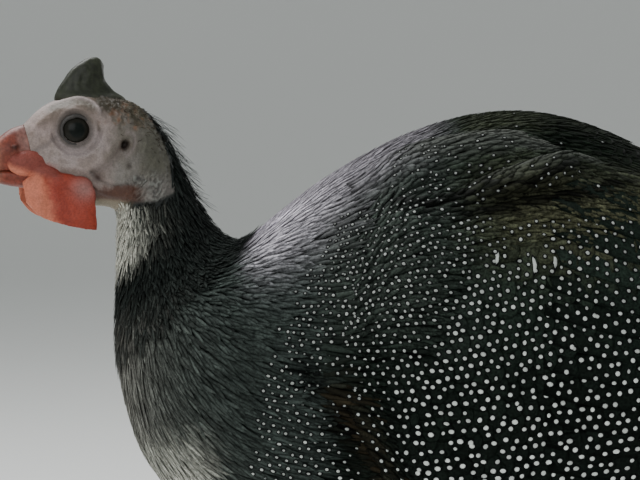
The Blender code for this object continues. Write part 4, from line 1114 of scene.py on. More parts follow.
# Each material's own name, its roughness, the scale, darkest and lightest of its flecks, the
# strength and depth of its bump, and its gloss.
LOOKS = {
    "skin": ("bare_skin", 0.50, (1500, 0.86, 1.14), 0.35, 0.0004, 0.25),
    "horn": ("horn", 0.42, (700, 0.75, 1.25), 0.25, 0.0003, 0.25),
    "wattle": ("wattle_skin", 0.46, (1300, 0.85, 1.15), 0.40, 0.0004, 0.20),
    "eye": ("eye", 0.24, (900, 0.9, 1.1), 0.0, 0.0001, 0.12),
    "feather": ("body_feather", 0.70, (1050, 0.50, 1.75), 0.30, 0.0003, 0.06),
    "down": ("hair_feather", 0.75, (900, 0.70, 1.35), 0.1, 0.0002, 0.06),
    "spot": ("pearl_spot", 0.7, (900, 0.88, 1.08), 0.1, 0.0002, 0.1),
    "ring": ("spot_ring", 0.8, (900, 0.9, 1.1), 0.1, 0.0002, 0.05),
    "leg": ("leg_scales", 0.5, (900, 0.8, 1.25), 0.35, 0.0004, 0.25),
}
MATERIALS = {}


def make_materials():
    group = mottle_group()
    for name, look in LOOKS.items():
        MATERIALS[name] = tinted_material(group, *look)


# Ridges and creases of the bare head in side view: the line, its height and its half width.
BROW = (((-0.2015, 0.3130), (-0.1950, 0.3190), (-0.1890, 0.3220), (-0.1825, 0.3232), (-0.1755, 0.3215)),
        0.0013, 0.0020)
FRILL = (((-0.2030, 0.3190), (-0.1960, 0.3238), (-0.1898, 0.3263), (-0.1821, 0.3270), (-0.1768, 0.3250),
          (-0.1742, 0.3211)), 0.0008, 0.0010)
LORE = (((-0.1905, 0.3125), (-0.1960, 0.3080), (-0.2015, 0.3050)), -0.0007, 0.0011)
SMILE = (((-0.1775, 0.2962), (-0.1762, 0.2944), (-0.1735, 0.2922), (-0.1681, 0.2904), (-0.1618, 0.2909),
          (-0.1582, 0.2938)), -0.0008, 0.0008)
JOWL = (((-0.1760, 0.2900), (-0.1690, 0.2872), (-0.1610, 0.2872), (-0.1545, 0.2900)), 0.0010, 0.0016)
CHEEK = (((-0.1600, 0.3020), (-0.1690, 0.2985), (-0.1790, 0.2978), (-0.1890, 0.2990)), 0.0006, 0.0013)


def ridge(x, z, form):
    line, height, width = form
    return height * bell(line_distance(x, z, line, 50), width)


def ear_distance(x, z):
    """Distance from the ear's slanted, rather narrow opening."""
    along = (x - EAR_X) * 0.45 + (z - EAR_Z) * 0.89
    across = (x - EAR_X) * 0.89 - (z - EAR_Z) * 0.45
    return np.hypot(along * 0.82, across * 1.15)


def jowl_waves(x, z, warp):
    """Crests of the wrinkled skin below and behind the ear."""
    window = eased((x + 0.1665) / 0.007) * eased((0.2990 - z) / 0.006)
    window = window * (0.35 + 0.65 * eased(0.5 + warp * 1.6))
    return np.sin((z - 0.42 * x + warp * 0.0046) / 0.00056) * window


def head_relief(points, warp):
    """How far each point of the unturned head is raised: brow, lids, ear, folds and wrinkles."""
    x, y, z = points.T
    eye = np.hypot(x - EYE_X, (z - EYE_Z) * 1.04)
    ear = ear_distance(x, z)
    forms = (BROW, FRILL, LORE, CHEEK, SMILE, JOWL, (EAR_FOLD, -0.0006, 0.0012))
    raised = sum(ridge(x, z, form) for form in forms)
    low = eased((EYE_Z - z) / 0.004 + 0.4)
    raised += 0.0011 * bell(eye - 0.0079, 0.0011) - 0.0005 * bell(eye - 0.0099, 0.0006) * low
    raised += 0.0006 * bell(eye - 0.0114, 0.0010) * low - 0.0042 * eased((0.0058 - eye) / 0.002)
    raised += 0.0008 * bell(ear - 0.0030, 0.0009) - 0.0034 * eased((0.0021 - ear) / 0.0010)
    raised += 0.0009 * bell(np.hypot(x - EAR_X + 0.0035, z - EAR_Z - 0.0006), 0.0016)
    raised -= 0.0011 * bell(np.hypot(x + 0.1621, z - 0.2986), 0.0010)
    raised += 0.0006 * bell(np.hypot(x + 0.1815, z - 0.3010), 0.0060)
    raised += 0.0011 * bell(np.hypot(x + 0.1672, z - 0.2963), 0.0048)
    raised += 0.00060 * jowl_waves(x, z, warp)
    rings = np.sin((ear + warp * 0.0014) / 0.00070) * bell(ear - 0.0075, 0.0045)
    rings += 0.7 * np.sin((eye + warp * 0.0022) / 0.00055) * bell(eye - 0.0118, 0.0026)
    return (raised + 0.00020 * rings) * eased((np.abs(y) - 0.003) / 0.004)


def wrinkles(points, s):
    """Rough warts on the crown and loose skin on the side of the neck."""
    high = eased((points[:, 2] - 0.314) / 0.006)
    warts = np.abs(fine_noise(points, 420.0)) * eased((s - 3.0) / 0.8) * high
    loose = fine_noise(points * (1.0, 1.0, 2.2), 330.0) * eased((s - 4.4) / 1.0)
    pores = fine_noise(points, 900.0, 2)
    return (0.0010 * warts + 0.00045 * loose + 0.00010 * pores) * eased((7.4 - s) / 0.6)


# The lower edge of the bare skin in side view.
BARE_EDGE = np.array(((-0.1720, 0.2848), (-0.1600, 0.2838), (-0.1502, 0.2842),
                      (-0.1409, 0.2885), (-0.1353, 0.2925), (-0.1200, 0.3070)))


def feathered(s, q, points):
    """0 on the bare head, 1 where feathers grow: below its edge and in a strip down the nape."""
    below = eased((np.interp(points[:, 0], *BARE_EDGE.T) - points[:, 2]) / 0.0025 + 0.5)
    strip = np.interp(s, (4.6, 5.3, 6.2, 7.0), (0.0, 0.070, 0.100, 0.140))
    away = np.abs((q + 0.5) % 1 - 0.5)
    return np.maximum(below, eased((strip - away) / 0.03 + 0.5) * eased((s - 4.7) / 0.4))


# Lines of shade over the eye, and the fold that runs forward and down from the ear.
BROW_SHADE = (((-0.1980, 0.3165), (-0.1890, 0.3215), (-0.1800, 0.3222)),
              ((-0.1930, 0.3226), (-0.1880, 0.3246), (-0.1820, 0.3252), (-0.1765, 0.3235)))
EAR_FOLD = ((-0.1655, 0.3055), (-0.1685, 0.3024), (-0.1723, 0.2986), (-0.1762, 0.2965))


def head_tint(points, s, q, warp):
    """Colours of the bare head at its unturned points."""
    body = bpy.context.scene.fowl_body
    x, _, z = points.T
    names = ("face", "jaw", "crown", "wattle", "bill", "casque")
    face, jaw, crown, red, bill, casque = (np.array(getattr(body, name + "_colour")) for name in names)
    eye, ear = np.hypot(x - EYE_X, z - EYE_Z), ear_distance(x, z)
    patchy, spotty = fine_noise(points, 210.0), fine_noise(points, 320.0)
    tint = np.tile(face * (0.92, 0.87, 0.82), (len(points), 1))
    paint = painter(tint)

    def near(at_x, at_z, width, wide=1.0):
        return bell(np.hypot((x - at_x) / wide, z - at_z), width)

    bright = near(-0.1860, 0.3035, 0.0052, 1.9) + 0.8 * near(-0.1745, 0.3100, 0.0065)
    paint(face * 1.12, np.clip(1.1 * bright, 0, 1))
    paint(face * (1.30, 1.22, 1.22), near(-0.1978, 0.3150, 0.0038))
    paint(face * (0.62, 0.57, 0.50), 0.55 * eased(patchy * 1.5 + 0.15))
    paint(face * (0.50, 0.44, 0.37), 0.8 * bell(line_distance(x, z, BROW_SHADE[0]), 0.0030))
    paint(jaw * 0.93, 0.9 * eased((x + 0.1720 + 0.003 * patchy) / 0.006))
    paint(jaw * 1.12, 0.7 * near(-0.1655, 0.2960, 0.0045))
    paint(jaw * (0.70, 0.64, 0.56), 0.6 * near(-0.1700, 0.3035, 0.0055) * eased(0.6 + patchy))
    rear = eased((x + 0.1655 + 0.003 * patchy) / 0.013) * eased((z - 0.290) / 0.009)
    paint(jaw * (0.40, 0.43, 0.34), 0.85 * rear)
    paint(jaw * (0.58, 0.54, 0.44), 0.7 * near(-0.1645, 0.3112, 0.0050))
    # Painted shade in the fold that runs forward and down from the ear.
    paint(face * (0.42, 0.40, 0.38), 0.65 * bell(line_distance(x, z, EAR_FOLD), 0.0022))
    behind = eased((x + 0.1765 + 0.005 * patchy) / 0.008) * eased((z - 0.3125 + 0.006 * patchy) / 0.009)
    paint(crown, 0.85 * behind)
    paint((0.17, 0.080, 0.046), 0.75 * behind * eased((spotty - 0.02) / 0.35))
    paint(crown * 0.40, 0.7 * behind * eased((-spotty - 0.02) / 0.35))
    paint(crown * (0.30, 0.37, 0.28), 0.8 * eased((x + 0.1665) / 0.010) * eased((z - 0.3160) / 0.004))
    paint((0.030, 0.025, 0.015), np.clip(1.4 * near(-0.1700, 0.3258, 0.0042, 1.7), 0, 0.95))
    paint(face * (0.30, 0.31, 0.25), 0.9 * bell(line_distance(x, z, BROW_SHADE[1]), 0.0021))
    paint(face * 1.05, 0.8 * bell(line_distance(x, z, FRILL[0]), 0.0009) * (x < -0.1735))
    paint(casque, 0.9 * eased((z - 0.3270) / 0.0008) * (x > -0.191))
    low_lid = eased((EYE_Z - z) / 0.004 + 0.4)
    # A dark ring round the eye: partly the lids' own dark skin and partly painted shade round the socket.
    paint((0.052, 0.044, 0.040), 0.75 * bell(np.hypot(x - EYE_X + 0.0007, z - EYE_Z) - 0.0065, 0.0017))
    paint(face * (1.00, 0.98, 1.03), 0.45 * bell(eye - 0.0084 + 0.0005 * patchy, 0.0008) * low_lid)
    # Painted shade in the crease below the lower lid.
    paint(face * (0.40, 0.36, 0.38), 0.50 * bell(eye - 0.0100 + 0.0006 * patchy, 0.0007) * low_lid)
    paint((0.060, 0.038, 0.026), 0.75 * bell(ear, 0.0046) * eased(0.6 + patchy))
    paint(face * 0.9, 0.45 * bell(ear - 0.0043 + 0.0005 * patchy, 0.0009) * (x > EAR_X))
    # Painted shade inside the ear's opening.
    paint((0.020, 0.012, 0.009), eased((0.0019 - ear + 0.0006 * spotty) / 0.0009))
    # Painted shade in the small pit below the ear.
    paint((0.045, 0.035, 0.030), 0.8 * near(-0.1621, 0.2986, 0.0011))
    # Painted highlights on the crests of the jowl's wrinkles and painted shade in their troughs.
    lit_and_shaded_waves = jowl_waves(x, z, warp)
    paint(jaw * (1.25, 1.50, 1.50), 0.6 * np.clip(lit_and_shaded_waves, 0, 1))
    paint(jaw * (0.30, 0.34, 0.36), 0.7 * np.clip(-lit_and_shaded_waves, 0, 1))
    # Painted shade along the smile crease at the mouth's corner.
    paint((0.070, 0.062, 0.060), 0.5 * bell(line_distance(x, z, SMILE[0]), 0.0008))
    # Painted shade along the crease of the lore.
    paint(face * 0.5, 0.5 * bell(line_distance(x, z, LORE[0]), 0.0009))
    gape = eased((0.3015 - z + 0.0012 * patchy) / 0.004) * eased((-0.190 - x) / 0.006)
    paint(red * (0.95, 2.6, 3.6), 0.9 * gape)
    lip = eased((0.2970 + 0.30 * (-0.1900 - x) - z + 0.0008 * patchy) / 0.004) * eased((-0.1745 - x) / 0.004)
    paint((0.25, 0.120, 0.100), 0.8 * lip)
    paint(bill, 0.9 * eased((-0.2040 - x + 0.001 * patchy) / 0.002))
    paint((0.055, 0.034, 0.028), 0.9 * near(-0.1748, 0.2942, 0.0021))
    below = eased((0.2915 - z + 0.0014 * patchy) / 0.0024) * eased((-0.1530 - x) / 0.008)
    paint((0.070, 0.028, 0.017), 0.95 * below)
    paint(jaw * (0.55, 0.50, 0.42), 0.55 * near(-0.1590, 0.2960, 0.0040, 1.4) * eased(0.5 + patchy))
    tint *= (1 + 0.12 * spotty + 0.08 * patchy)[:, None]
    neck = mixed(bpy.context.scene.fowl_coat.neck_colour, (0.20, 0.17, 0.12), eased((-0.159 - x) / 0.006))
    return mixed(tint, neck, feathered(s, q, points))


class FOWL_OT_skin(Operator):
    """Add one skin for head, neck and body, with the bare head's folds, and the thighs."""

    bl_idname = "fowl.add_skin"
    bl_label = "Add Skin"

    def execute(self, context):
        depth = context.scene.fowl_body.coat_depth
        spans = ((0, 7.4, 210), (7.4, 11, 36), (11, LAST, 60))
        s = np.concatenate([np.linspace(*run)[run[0] > 0:] for run in spans])
        grid_s, grid_angle = np.meshgrid(s, circle(208), indexing="ij")
        flat = skin_points(grid_s, grid_angle, depth)
        sheet = Sheet(flat, True)
        points, flat_s, flat_q = flat.reshape(-1, 3), grid_s.ravel(), grid_angle.ravel() / (2 * math.pi)
        tint = np.tile(context.scene.fowl_coat.neck_colour, (len(points), 1))
        bare = flat_s < 7.5
        warp = fine_noise(points[bare], 190.0)
        tint[bare] = head_tint(points[bare], flat_s[bare], flat_q[bare], warp)
        raised = np.zeros(len(points))
        raised[bare] = head_relief(points[bare], warp) + wrinkles(points[bare], flat_s[bare])
        raised *= eased(flat_s / 0.5) * eased((7.6 - flat_s) / 0.5)
        shaped = turned(flat + sheet.normal * raised.reshape(flat.shape[:2])[..., None], turn_share(grid_s))
        mesh = tube_mesh("skin", shaped)
        set_tint(mesh, with_ends(tint.reshape(flat.shape)))
        place_piece(mesh, "skin", ("head", "neck", "torso"))
        for label, side in SIDES.items():
            p, q = np.linspace(0, 1, 24)[:, None], np.linspace(0, 1, 32, endpoint=False)[None]
            mesh = tube_mesh("thigh_skin_" + label, thigh_sheet(side).at(p, q, -0.0006))
            set_tint(mesh, np.tile(BREAST, (len(mesh.vertices), 1)))
            place_piece(mesh, "skin", ("thigh_" + label,))
        return {"FINISHED"}


def add_ball(segments, rings, place):
    """A unit ball carried to its place, the only thing selected."""
    bpy.ops.object.select_all(action="DESELECT")
    bpy.ops.mesh.primitive_uv_sphere_add(segments=segments, ring_count=rings, radius=1)
    ball = bpy.context.object
    ball.matrix_world = place
    ball.select_set(True)
    return ball


def only_active(piece):
    bpy.ops.object.select_all(action="DESELECT")
    piece.select_set(True)
    bpy.context.view_layer.objects.active = piece


def finished(piece, name, material, tint, replaced=()):
    """Puts a shape made by operators at the origin, colours it and names it."""
    only_active(piece)
    bpy.ops.object.transform_apply(location=True, rotation=True, scale=True)
    piece.name = name
    piece.data.name = name
    set_tint(piece.data, tint(points_of(piece.data)))
    piece.data.shade_smooth()
    dress(piece, material, replaced)


class FOWL_OT_eyes(Operator):
    """Add the two eyeballs and the rim of lid round each."""

    bl_idname = "fowl.add_eyes"
    bl_label = "Add Eyes"

    def execute(self, context):
        for label, side in SIDES.items():
            centre = head_side(EYE_X, EYE_Z, side, EYE_OUT)
            facing = (head_side(EYE_X, EYE_Z, side, EYE_OUT + 1) - centre).normalized()
            turn = facing.to_track_quat("Z", "Y").to_matrix().to_4x4()
            size = Matrix.Diagonal((EYE_RADIUS, EYE_RADIUS, EYE_DEPTH, 1))
            eye = add_ball(64, 40, Matrix.Translation(centre) @ turn @ size)

            def iris(points, centre=centre, facing=facing):
                offset = points - np.array(centre)
                off = offset - np.outer(offset @ np.array(facing), np.array(facing))
                radius = span(off) / EYE_RADIUS
                dark = np.tile((0.004, 0.006, 0.005), (len(points), 1))
                return mixed(dark, (0.013, 0.012, 0.009), eased((radius - 0.46) / 0.12))

            finished(eye, "eyeball_" + label, "eye", iris, ("eye_" + label,))
            place_piece(lid_mesh("lids_" + label, centre, facing), "skin")
        return {"FINISHED"}


def lid_mesh(name, centre, facing):
    """A soft rim that opens as a slightly flattened circle over the eyeball."""
    turn = np.array(facing.to_track_quat("Z", "Y").to_matrix())
    steps, sides = 72, 10
    rings = []
    for i in range(steps):
        a = 2 * math.pi * i / steps
        upper = max(math.sin(a), 0) ** 2
        lower = max(-math.sin(a), 0) ** 2
        radius = 0.00585 - 0.0005 * upper - 0.0001 * lower
        radius = radius + 0.00010 * math.sin(5 * a + 1) + 0.00006 * math.sin(9 * a)
        thick = 0.00062 + 0.00018 * upper + 0.00018 * lower
        height = EYE_DEPTH * math.sqrt(max(1 - (radius / EYE_RADIUS) ** 2, 0.0)) + 0.0006
        ring = []
        for j in range(sides):
            b = 2 * math.pi * j / sides
            out = radius + thick * (0.75 + 1.15 * math.cos(b))
            rise = height + thick * 0.9 * math.sin(b) - 0.0006 * max(math.cos(b), 0)
            ring.append((out * math.cos(a), out * math.sin(a), rise))
        rings.append(ring)
    points = np.array(rings) @ turn.T + np.array(centre)
    faces = grid_faces(steps, sides, True)
    last = np.arange(sides)
    ahead, whole = (last + 1) % sides, (steps - 1) * sides
    seam = np.stack([whole + last, whole + ahead, ahead, last], -1)
    mesh = new_mesh(name, points, np.concatenate([faces, seam]))
    outward(mesh)
    set_tint(mesh, np.tile((0.046, 0.042, 0.039), (len(mesh.vertices), 1)))
    return mesh


# The casque, level by level from inside the crown: height, front edge, rear edge, half thickness.
CASQUE = (
    (0.3210, -0.1900, -0.1592, 0.0098),
    (0.3266, -0.1912, -0.1612, 0.0068),
    (0.3300, -0.1903, -0.1664, 0.0045),
    (0.3340, -0.1880, -0.1695, 0.0041),
    (0.3378, -0.1852, -0.1706, 0.0036),
    (0.3408, -0.1822, -0.1708, 0.0030),
    (0.3430, -0.1788, -0.1717, 0.0022),
    (0.3441, -0.1766, -0.1732, 0.0011),
)
# The bill from the face to its point: culmen, then mouth line, as x and z, and half width.
UPPER_BILL = (
    (-0.2045, 0.3160, -0.20035, 0.2960, 0.0068),
    (-0.2098, 0.3142, -0.2070, 0.2964, 0.0064),
    (-0.2150, 0.3104, -0.2135, 0.2968, 0.0054),
    (-0.2198, 0.3056, -0.2190, 0.2960, 0.0042),
    (-0.2238, 0.3000, -0.2232, 0.2938, 0.0028),
    (-0.2268, 0.2948, -0.2262, 0.2914, 0.0014),
)
LOWER_BILL = np.array((
    (-0.20028, 0.2957, -0.1990, 0.2895, 0.0066),
    (-0.2070, 0.2961, -0.2058, 0.2898, 0.0060),
    (-0.2128, 0.2964, -0.2118, 0.2908, 0.0048),
    (-0.2180, 0.2957, -0.2172, 0.2922, 0.0032),
    (-0.2212, 0.2944, -0.2208, 0.2930, 0.0014),
))
# Brings the lower half up inside the upper one, so that no light shows between them.
MOUTH_SHUT = np.array((0.0, 0.0007, 0.0, 0.0, -0.0004))


def bill_points(rows, rings, count, top_power, low_power):
    """Closed curves between culmen and mouth line, with a power for each half of the curve."""
    top_x, top_z, low_x, low_z, half = (column[:, None] for column in smooth_line(rows, rings).T)
    a = circle(count)[None, :]
    up, out = np.cos(a), np.sin(a)
    power = np.where(up >= 0, top_power, low_power)
    height = 0.5 + 0.5 * np.sign(up) * np.abs(up) ** (2 / power)
    width = np.sign(out) * np.abs(out) ** (2 / power)
    return stacked(low_x + (top_x - low_x) * height, -width * half, low_z + (top_z - low_z) * height)


def nostril(x, z):
    """Distance from the slanted slit of the nostril in side view."""
    x, z = x + 0.2088, z - 0.3068
    return np.hypot(x * 0.55 + z * 0.35, z * 1.15 - x * 0.30)


class FOWL_OT_horn(Operator):
    """Add the casque and the two halves of the bill."""

    bl_idname = "fowl.add_horn"
    bl_label = "Add Casque and Bill"

    def execute(self, context):
        colours = context.scene.fowl_body
        z, front, rear, half = (column[:, None] for column in smooth_line(CASQUE, 44).T)
        a = circle(64)[None, :]
        x = (front + rear) / 2 - np.cos(a) * (rear - front) / 2
        y = np.sign(np.sin(a)) * np.abs(np.sin(a)) ** 0.8 * half
        points = stacked(x, y, z + 0 * x)
        rough = fine_noise(points.reshape(-1, 3) * (1, 1, 0.5), 260.0).reshape(points.shape[:2])
        points[..., 1] *= 1 + 0.10 * rough
        points[..., 0] += 0.00035 * rough
        mesh = tube_mesh("casque_horn", turned(points))
        shade = fine_noise(points_of(mesh) * (1, 1, 0.35), 420.0)
        tint = np.tile(colours.casque_colour, (len(shade), 1)) * (1 + 0.35 * shade[:, None])
        base = 0.5 * eased((0.3290 - points_of(mesh)[:, 2]) / 0.004)
        set_tint(mesh, mixed(tint, (0.030, 0.022, 0.014), base))
        place_piece(mesh, "horn", ("casque",))
        self.add_bill(colours)
        return {"FINISHED"}

    def add_bill(self, colours):
        """Upper half with its nostrils, then the lower half."""
        upper = bill_points(UPPER_BILL, 56, 64, 2.0, 4.0)
        x, z = upper[..., 0], upper[..., 2]
        flap = bell(np.hypot(x + 0.2080, z - 0.3090), 0.0024)
        raised = 0.0006 * flap - 0.0018 * eased((0.0012 - nostril(x, z)) / 0.0007)
        raised += 0.0004 * bell(x + 0.2050, 0.0015)
        raised *= eased((np.abs(upper[..., 1]) - 0.002) / 0.002)
        upper = upper + Sheet(upper, True).normal * raised[..., None]
        lower = bill_points(LOWER_BILL + MOUTH_SHUT, 44, 56, 4.0, 2.0)
        face, base = np.array(colours.face_colour), np.array(colours.bill_colour)
        for node_name, points in (("upper_bill", upper), ("lower_bill", lower)):
            mesh = tube_mesh(node_name + "_horn", turned(points))
            padded = with_ends(points)
            x, _, z = padded.T
            tint = np.tile(base, (len(padded), 1))
            paint = painter(tint)
            paint((0.33, 0.23, 0.15), 0.85 * eased((-0.2120 - x) / 0.010))
            skin = eased((x + 0.2080 + 0.12 * (z - 0.305)) / 0.002) * eased((z - 0.303) / 0.003)
            paint(face * (0.90, 0.62, 0.55), 0.6 * skin)
            paint(base * (0.55, 0.95, 1.3), 0.6 * eased((z - 0.3095) / 0.004))
            tint *= 1 + 0.16 * fine_noise(padded * (0.5, 1, 1), 380.0)[:, None]
            hole = nostril(x, z)
            # Painted shade inside the nostril.
            paint((0.03, 0.012, 0.009), eased((0.0013 - hole) / 0.0006))
            paint(base * (0.42, 0.50, 0.55), 0.6 * bell(hole, 0.0026) * (node_name == "upper_bill"))
            set_tint(mesh, tint)
            place_piece(mesh, "horn", (node_name,))


# The wattle's upper and lower edges from front to rear: x, z and how far out it hangs.
WATTLE_TOP = ((-0.2062, 0.2925, 0.0074), (-0.2010, 0.2952, 0.0086), (-0.1935, 0.2925, 0.0106),
              (-0.1850, 0.2900, 0.0118), (-0.1765, 0.2880, 0.0122))
WATTLE_LOW = ((-0.2048, 0.2838, 0.0098), (-0.1992, 0.2782, 0.0128), (-0.1905, 0.2750, 0.0152),
              (-0.1830, 0.2732, 0.0160), (-0.1760, 0.2722, 0.0150))
# The bulbs that join the wattle to the face: x, z, how far out, radii and tilt.
BULBS = (
    (-0.2022, 0.3002, 0.0052, (0.0098, 0.0042, 0.0058), -0.04),
    (-0.1952, 0.2952, 0.0074, (0.0072, 0.0030, 0.0042), 0.30),
    (-0.1885, 0.2918, 0.0092, (0.0080, 0.0034, 0.0042), 0.10),
    (-0.1824, 0.2900, 0.0104, (0.0056, 0.0032, 0.0048), 0.05),
    (-0.1786, 0.2862, 0.0112, (0.0028, 0.0024, 0.0050), 0.00),
)


class FOWL_OT_wattles(Operator):
    """Add the red wattles, each blended with the lobe at the corner of the mouth."""

    bl_idname = "fowl.add_wattles"
    bl_label = "Add Wattles"

    def execute(self, context):
        for label, side in SIDES.items():
            plate = self.plate(side)
            for x, z, out, radii, tilt in BULBS:
                place = Matrix.Translation(head_side(x, z, side, out)) @ Matrix.Rotation(HEAD_TURN, 4, "Z")
                add_ball(24, 16, place @ Matrix.Rotation(tilt, 4, "Y") @ Matrix.Diagonal((*radii, 1)))
                plate.select_set(True)
                context.view_layer.objects.active = plate
                bpy.ops.object.join()
            blend = plate.modifiers.new("blend", "REMESH")
            blend.mode = "VOXEL"
            blend.voxel_size = 0.00036
            soften = plate.modifiers.new("soften", "SMOOTH")
            soften.factor = 0.5
            soften.iterations = 9
            only_active(plate)
            for modifier in ("blend", "soften"):
                bpy.ops.object.modifier_apply(modifier=modifier)
            self.crinkle(plate.data)
            finished(plate, "wattle_skin_" + label, "wattle", self.tint, ("wattle_" + label,))
        return {"FINISHED"}

    def plate(self, side):
        """The hanging flap as a closed plate with soft folds."""
        u, v = np.linspace(0, 1, 61)[:, None], np.linspace(0, 1, 37)[None, :]
        x, z, out = np.moveaxis(between(WATTLE_TOP, WATTLE_LOW, u, v), -1, 0)
        fold = 0.0009 * np.sin(2.6 * math.pi * u) * v + 0.0013 * np.sin(math.pi * v)
        fold = fold + 0.0004 * np.sin(7.5 * u + 2.5 * v) * v - 0.0006 * bell(u - 0.42 + 0.06 * v, 0.05)
        half = 0.0011 * (0.55 + 0.45 * np.sin(math.pi * np.minimum(u * 1.2 + 0.1, 1))) + 0 * v
        rim = np.minimum(np.minimum(u, 1 - u) * 14, np.minimum(v + 0.2, 1 - v) * 9)
        half = half * np.sqrt(np.clip(rim, 0.12, 1))
        faces = (turned(stacked(x, -side * (out + fold + face * half), z)) for face in (1, -1))
        return linked("wattle", shell_mesh("wattle", *faces))

    def crinkle(self, mesh):
        """Small bumps over the blended surface."""
        points = points_of(mesh)
        normals = np.empty(len(points) * 3, np.float32)
        mesh.vertices.foreach_get("normal", normals)
        bumps = fine_noise(points, 420.0)
        points += normals.reshape(-1, 3) * (0.00013 * bumps)[:, None]
        mesh.vertices.foreach_set("co", points.astype(np.float32).ravel())
        mesh.update()

    def tint(self, points):
        """Salmon in front, a dark fold, then red, with a painted lilac-pink highlight on the bulb by the
        cheek.
        """
        red = np.array(bpy.context.scene.fowl_body.wattle_colour)
        x = (points[:, 0] - TURN_X - FORWARD_SHIFT) * math.cos(-HEAD_TURN)
        x = x - points[:, 1] * math.sin(-HEAD_TURN) + TURN_X
        z = points[:, 2]
        patchy = fine_noise(points, 220.0)
        tint = np.tile((0.52, 0.165, 0.100), (len(points), 1))
        paint = painter(tint)
        lean = x + 0.22 * (z - 0.283) + 0.0022 * patchy
        paint(red * (0.90, 2.0, 1.9), eased((lean + 0.1975) / 0.0065))
        paint(red * (0.80, 1.8, 1.9), 0.7 * bell(lean + 0.1905, 0.0028))
        # Painted lilac-pink highlight on the bulb by the cheek.
        paint((0.29, 0.145, 0.130), 0.9 * bell(np.hypot(x + 0.1808, (z - 0.2896) * 1.1), 0.0052))
        edge = eased((z - 0.2912 - 0.30 * (-0.1900 - x) + 0.0008 * patchy) / 0.0034)
        paint((0.200, 0.050, 0.038), edge * eased((-0.1880 - x) / 0.006))
        rear = eased((x + 0.1800) / 0.005) * eased((z - 0.2900) / 0.004)
        paint((0.155, 0.085, 0.080), 0.8 * rear)
        return tint * (1 + 0.10 * patchy[:, None])


class FOWL_OT_neck_coat(Operator):
    """Add the short hair-like feathers of the neck and the pale down below the throat."""

    bl_idname = "fowl.add_neck_coat"
    bl_label = "Add Neck Coat"

    def execute(self, context):
        settings = context.scene.fowl_coat
        rng = np.random.default_rng(settings.seed)
        sheet = body_sheet(context.scene.fowl_body.coat_depth)
        found = staggered_roots(sheet, (4.7 / LAST, 10.4 / LAST), (0, 1), 0.0017, 0.0016, rng, 0.35)
        s, q = found[0] * LAST, found[1]
        flat = skin_points(s, q * 2 * math.pi, 0.0)
        found = found[:, feathered(s, q, flat) > rng.uniform(0.3, 0.9, len(s))]
        s, q = found[0] * LAST, found[1]
        count = len(s)
        tint = np.array(settings.neck_colour)
        tint = tint * np.exp(rng.normal(0.35 * eased((s - 8) / 1.5), 0.28, count))[:, None]
        front = bell((q - 0.5 + rng.normal(0, 0.02, count)) * 2 * math.pi, 0.85) * eased((8.5 - s) / 1.1)
        down = np.array(settings.down_colour) * rng.uniform(0.95, 1.45, (count, 1))
        tint = mixed(tint, down, np.clip(front * 2.0, 0, 1) * (rng.random(count) < 0.98))
        chest = bell((q - 0.5) * 2 * math.pi, 1.0) * eased((s - 8.8) / 1.4)
        tint = mixed(tint, (0.120, 0.115, 0.102), chest * np.where(rng.random(count) < 0.45, 0.9, 0.3))
        length = np.interp(s, (4.7, 6.0, 7.5, 10.4), (0.0035, 0.0060, 0.0085, 0.0110))
        length = length * rng.uniform(0.8, 1.25, count)
        half = np.interp(s, (4.7, 8.0, 10.4), (0.00038, 0.00055, 0.00085))
        tip = np.interp(s, (4.7, 6.0, 7.5, 10.4), (0.0010, 0.0016, 0.0022, 0.0024))
        coat = coat_from(sheet, found, length, half, rng, tint, 0.20, 0.0, tip=tip, kind=SLIM)
        middle = int(count * 0.5)
        for name, part in (("upper", slice(0, middle)), ("lower", slice(middle, None))):
            place_coat("neck_feathers_" + name, sheet, part_of(coat, part), 0.00012, "down")
        self.add_hairs(sheet, settings, rng)
        return {"FINISHED"}

    def add_hairs(self, sheet, settings, rng):
        """Loose black hairs at the nape and short bristles on the crown."""
        hairs = []
        dark, brown = np.array(settings.neck_colour) * 0.5, (0.030, 0.022, 0.016)
        for count, low, high, spread, length, rise, lay, colour in (
            (170, 5.0, 7.8, 0.050, (0.006, 0.015), (0.002, 0.0075), 0.25, dark),
            (520, 3.9, 6.0, 0.085, (0.0012, 0.0028), (0.0003, 0.0012), 0.5, brown),
        ):
            hairs.append(make_coat(
                rng.uniform(low, high, count) / LAST, rng.normal(0, spread, count) % 1, colour,
                yaw=rng.normal(0, lay, count), length=rng.uniform(*length, count), half=0.00012,
                root=-0.0003, tip=rng.uniform(*rise, count), camber=0.0, lean=0.0, kind=SLIM))
        place_coat("nape_hairs", sheet, joined_coats(*hairs), 0.00010, "down")


# The height that parts the upper pieces of the body's coat from the lower ones.
UPPER_COAT = 0.238


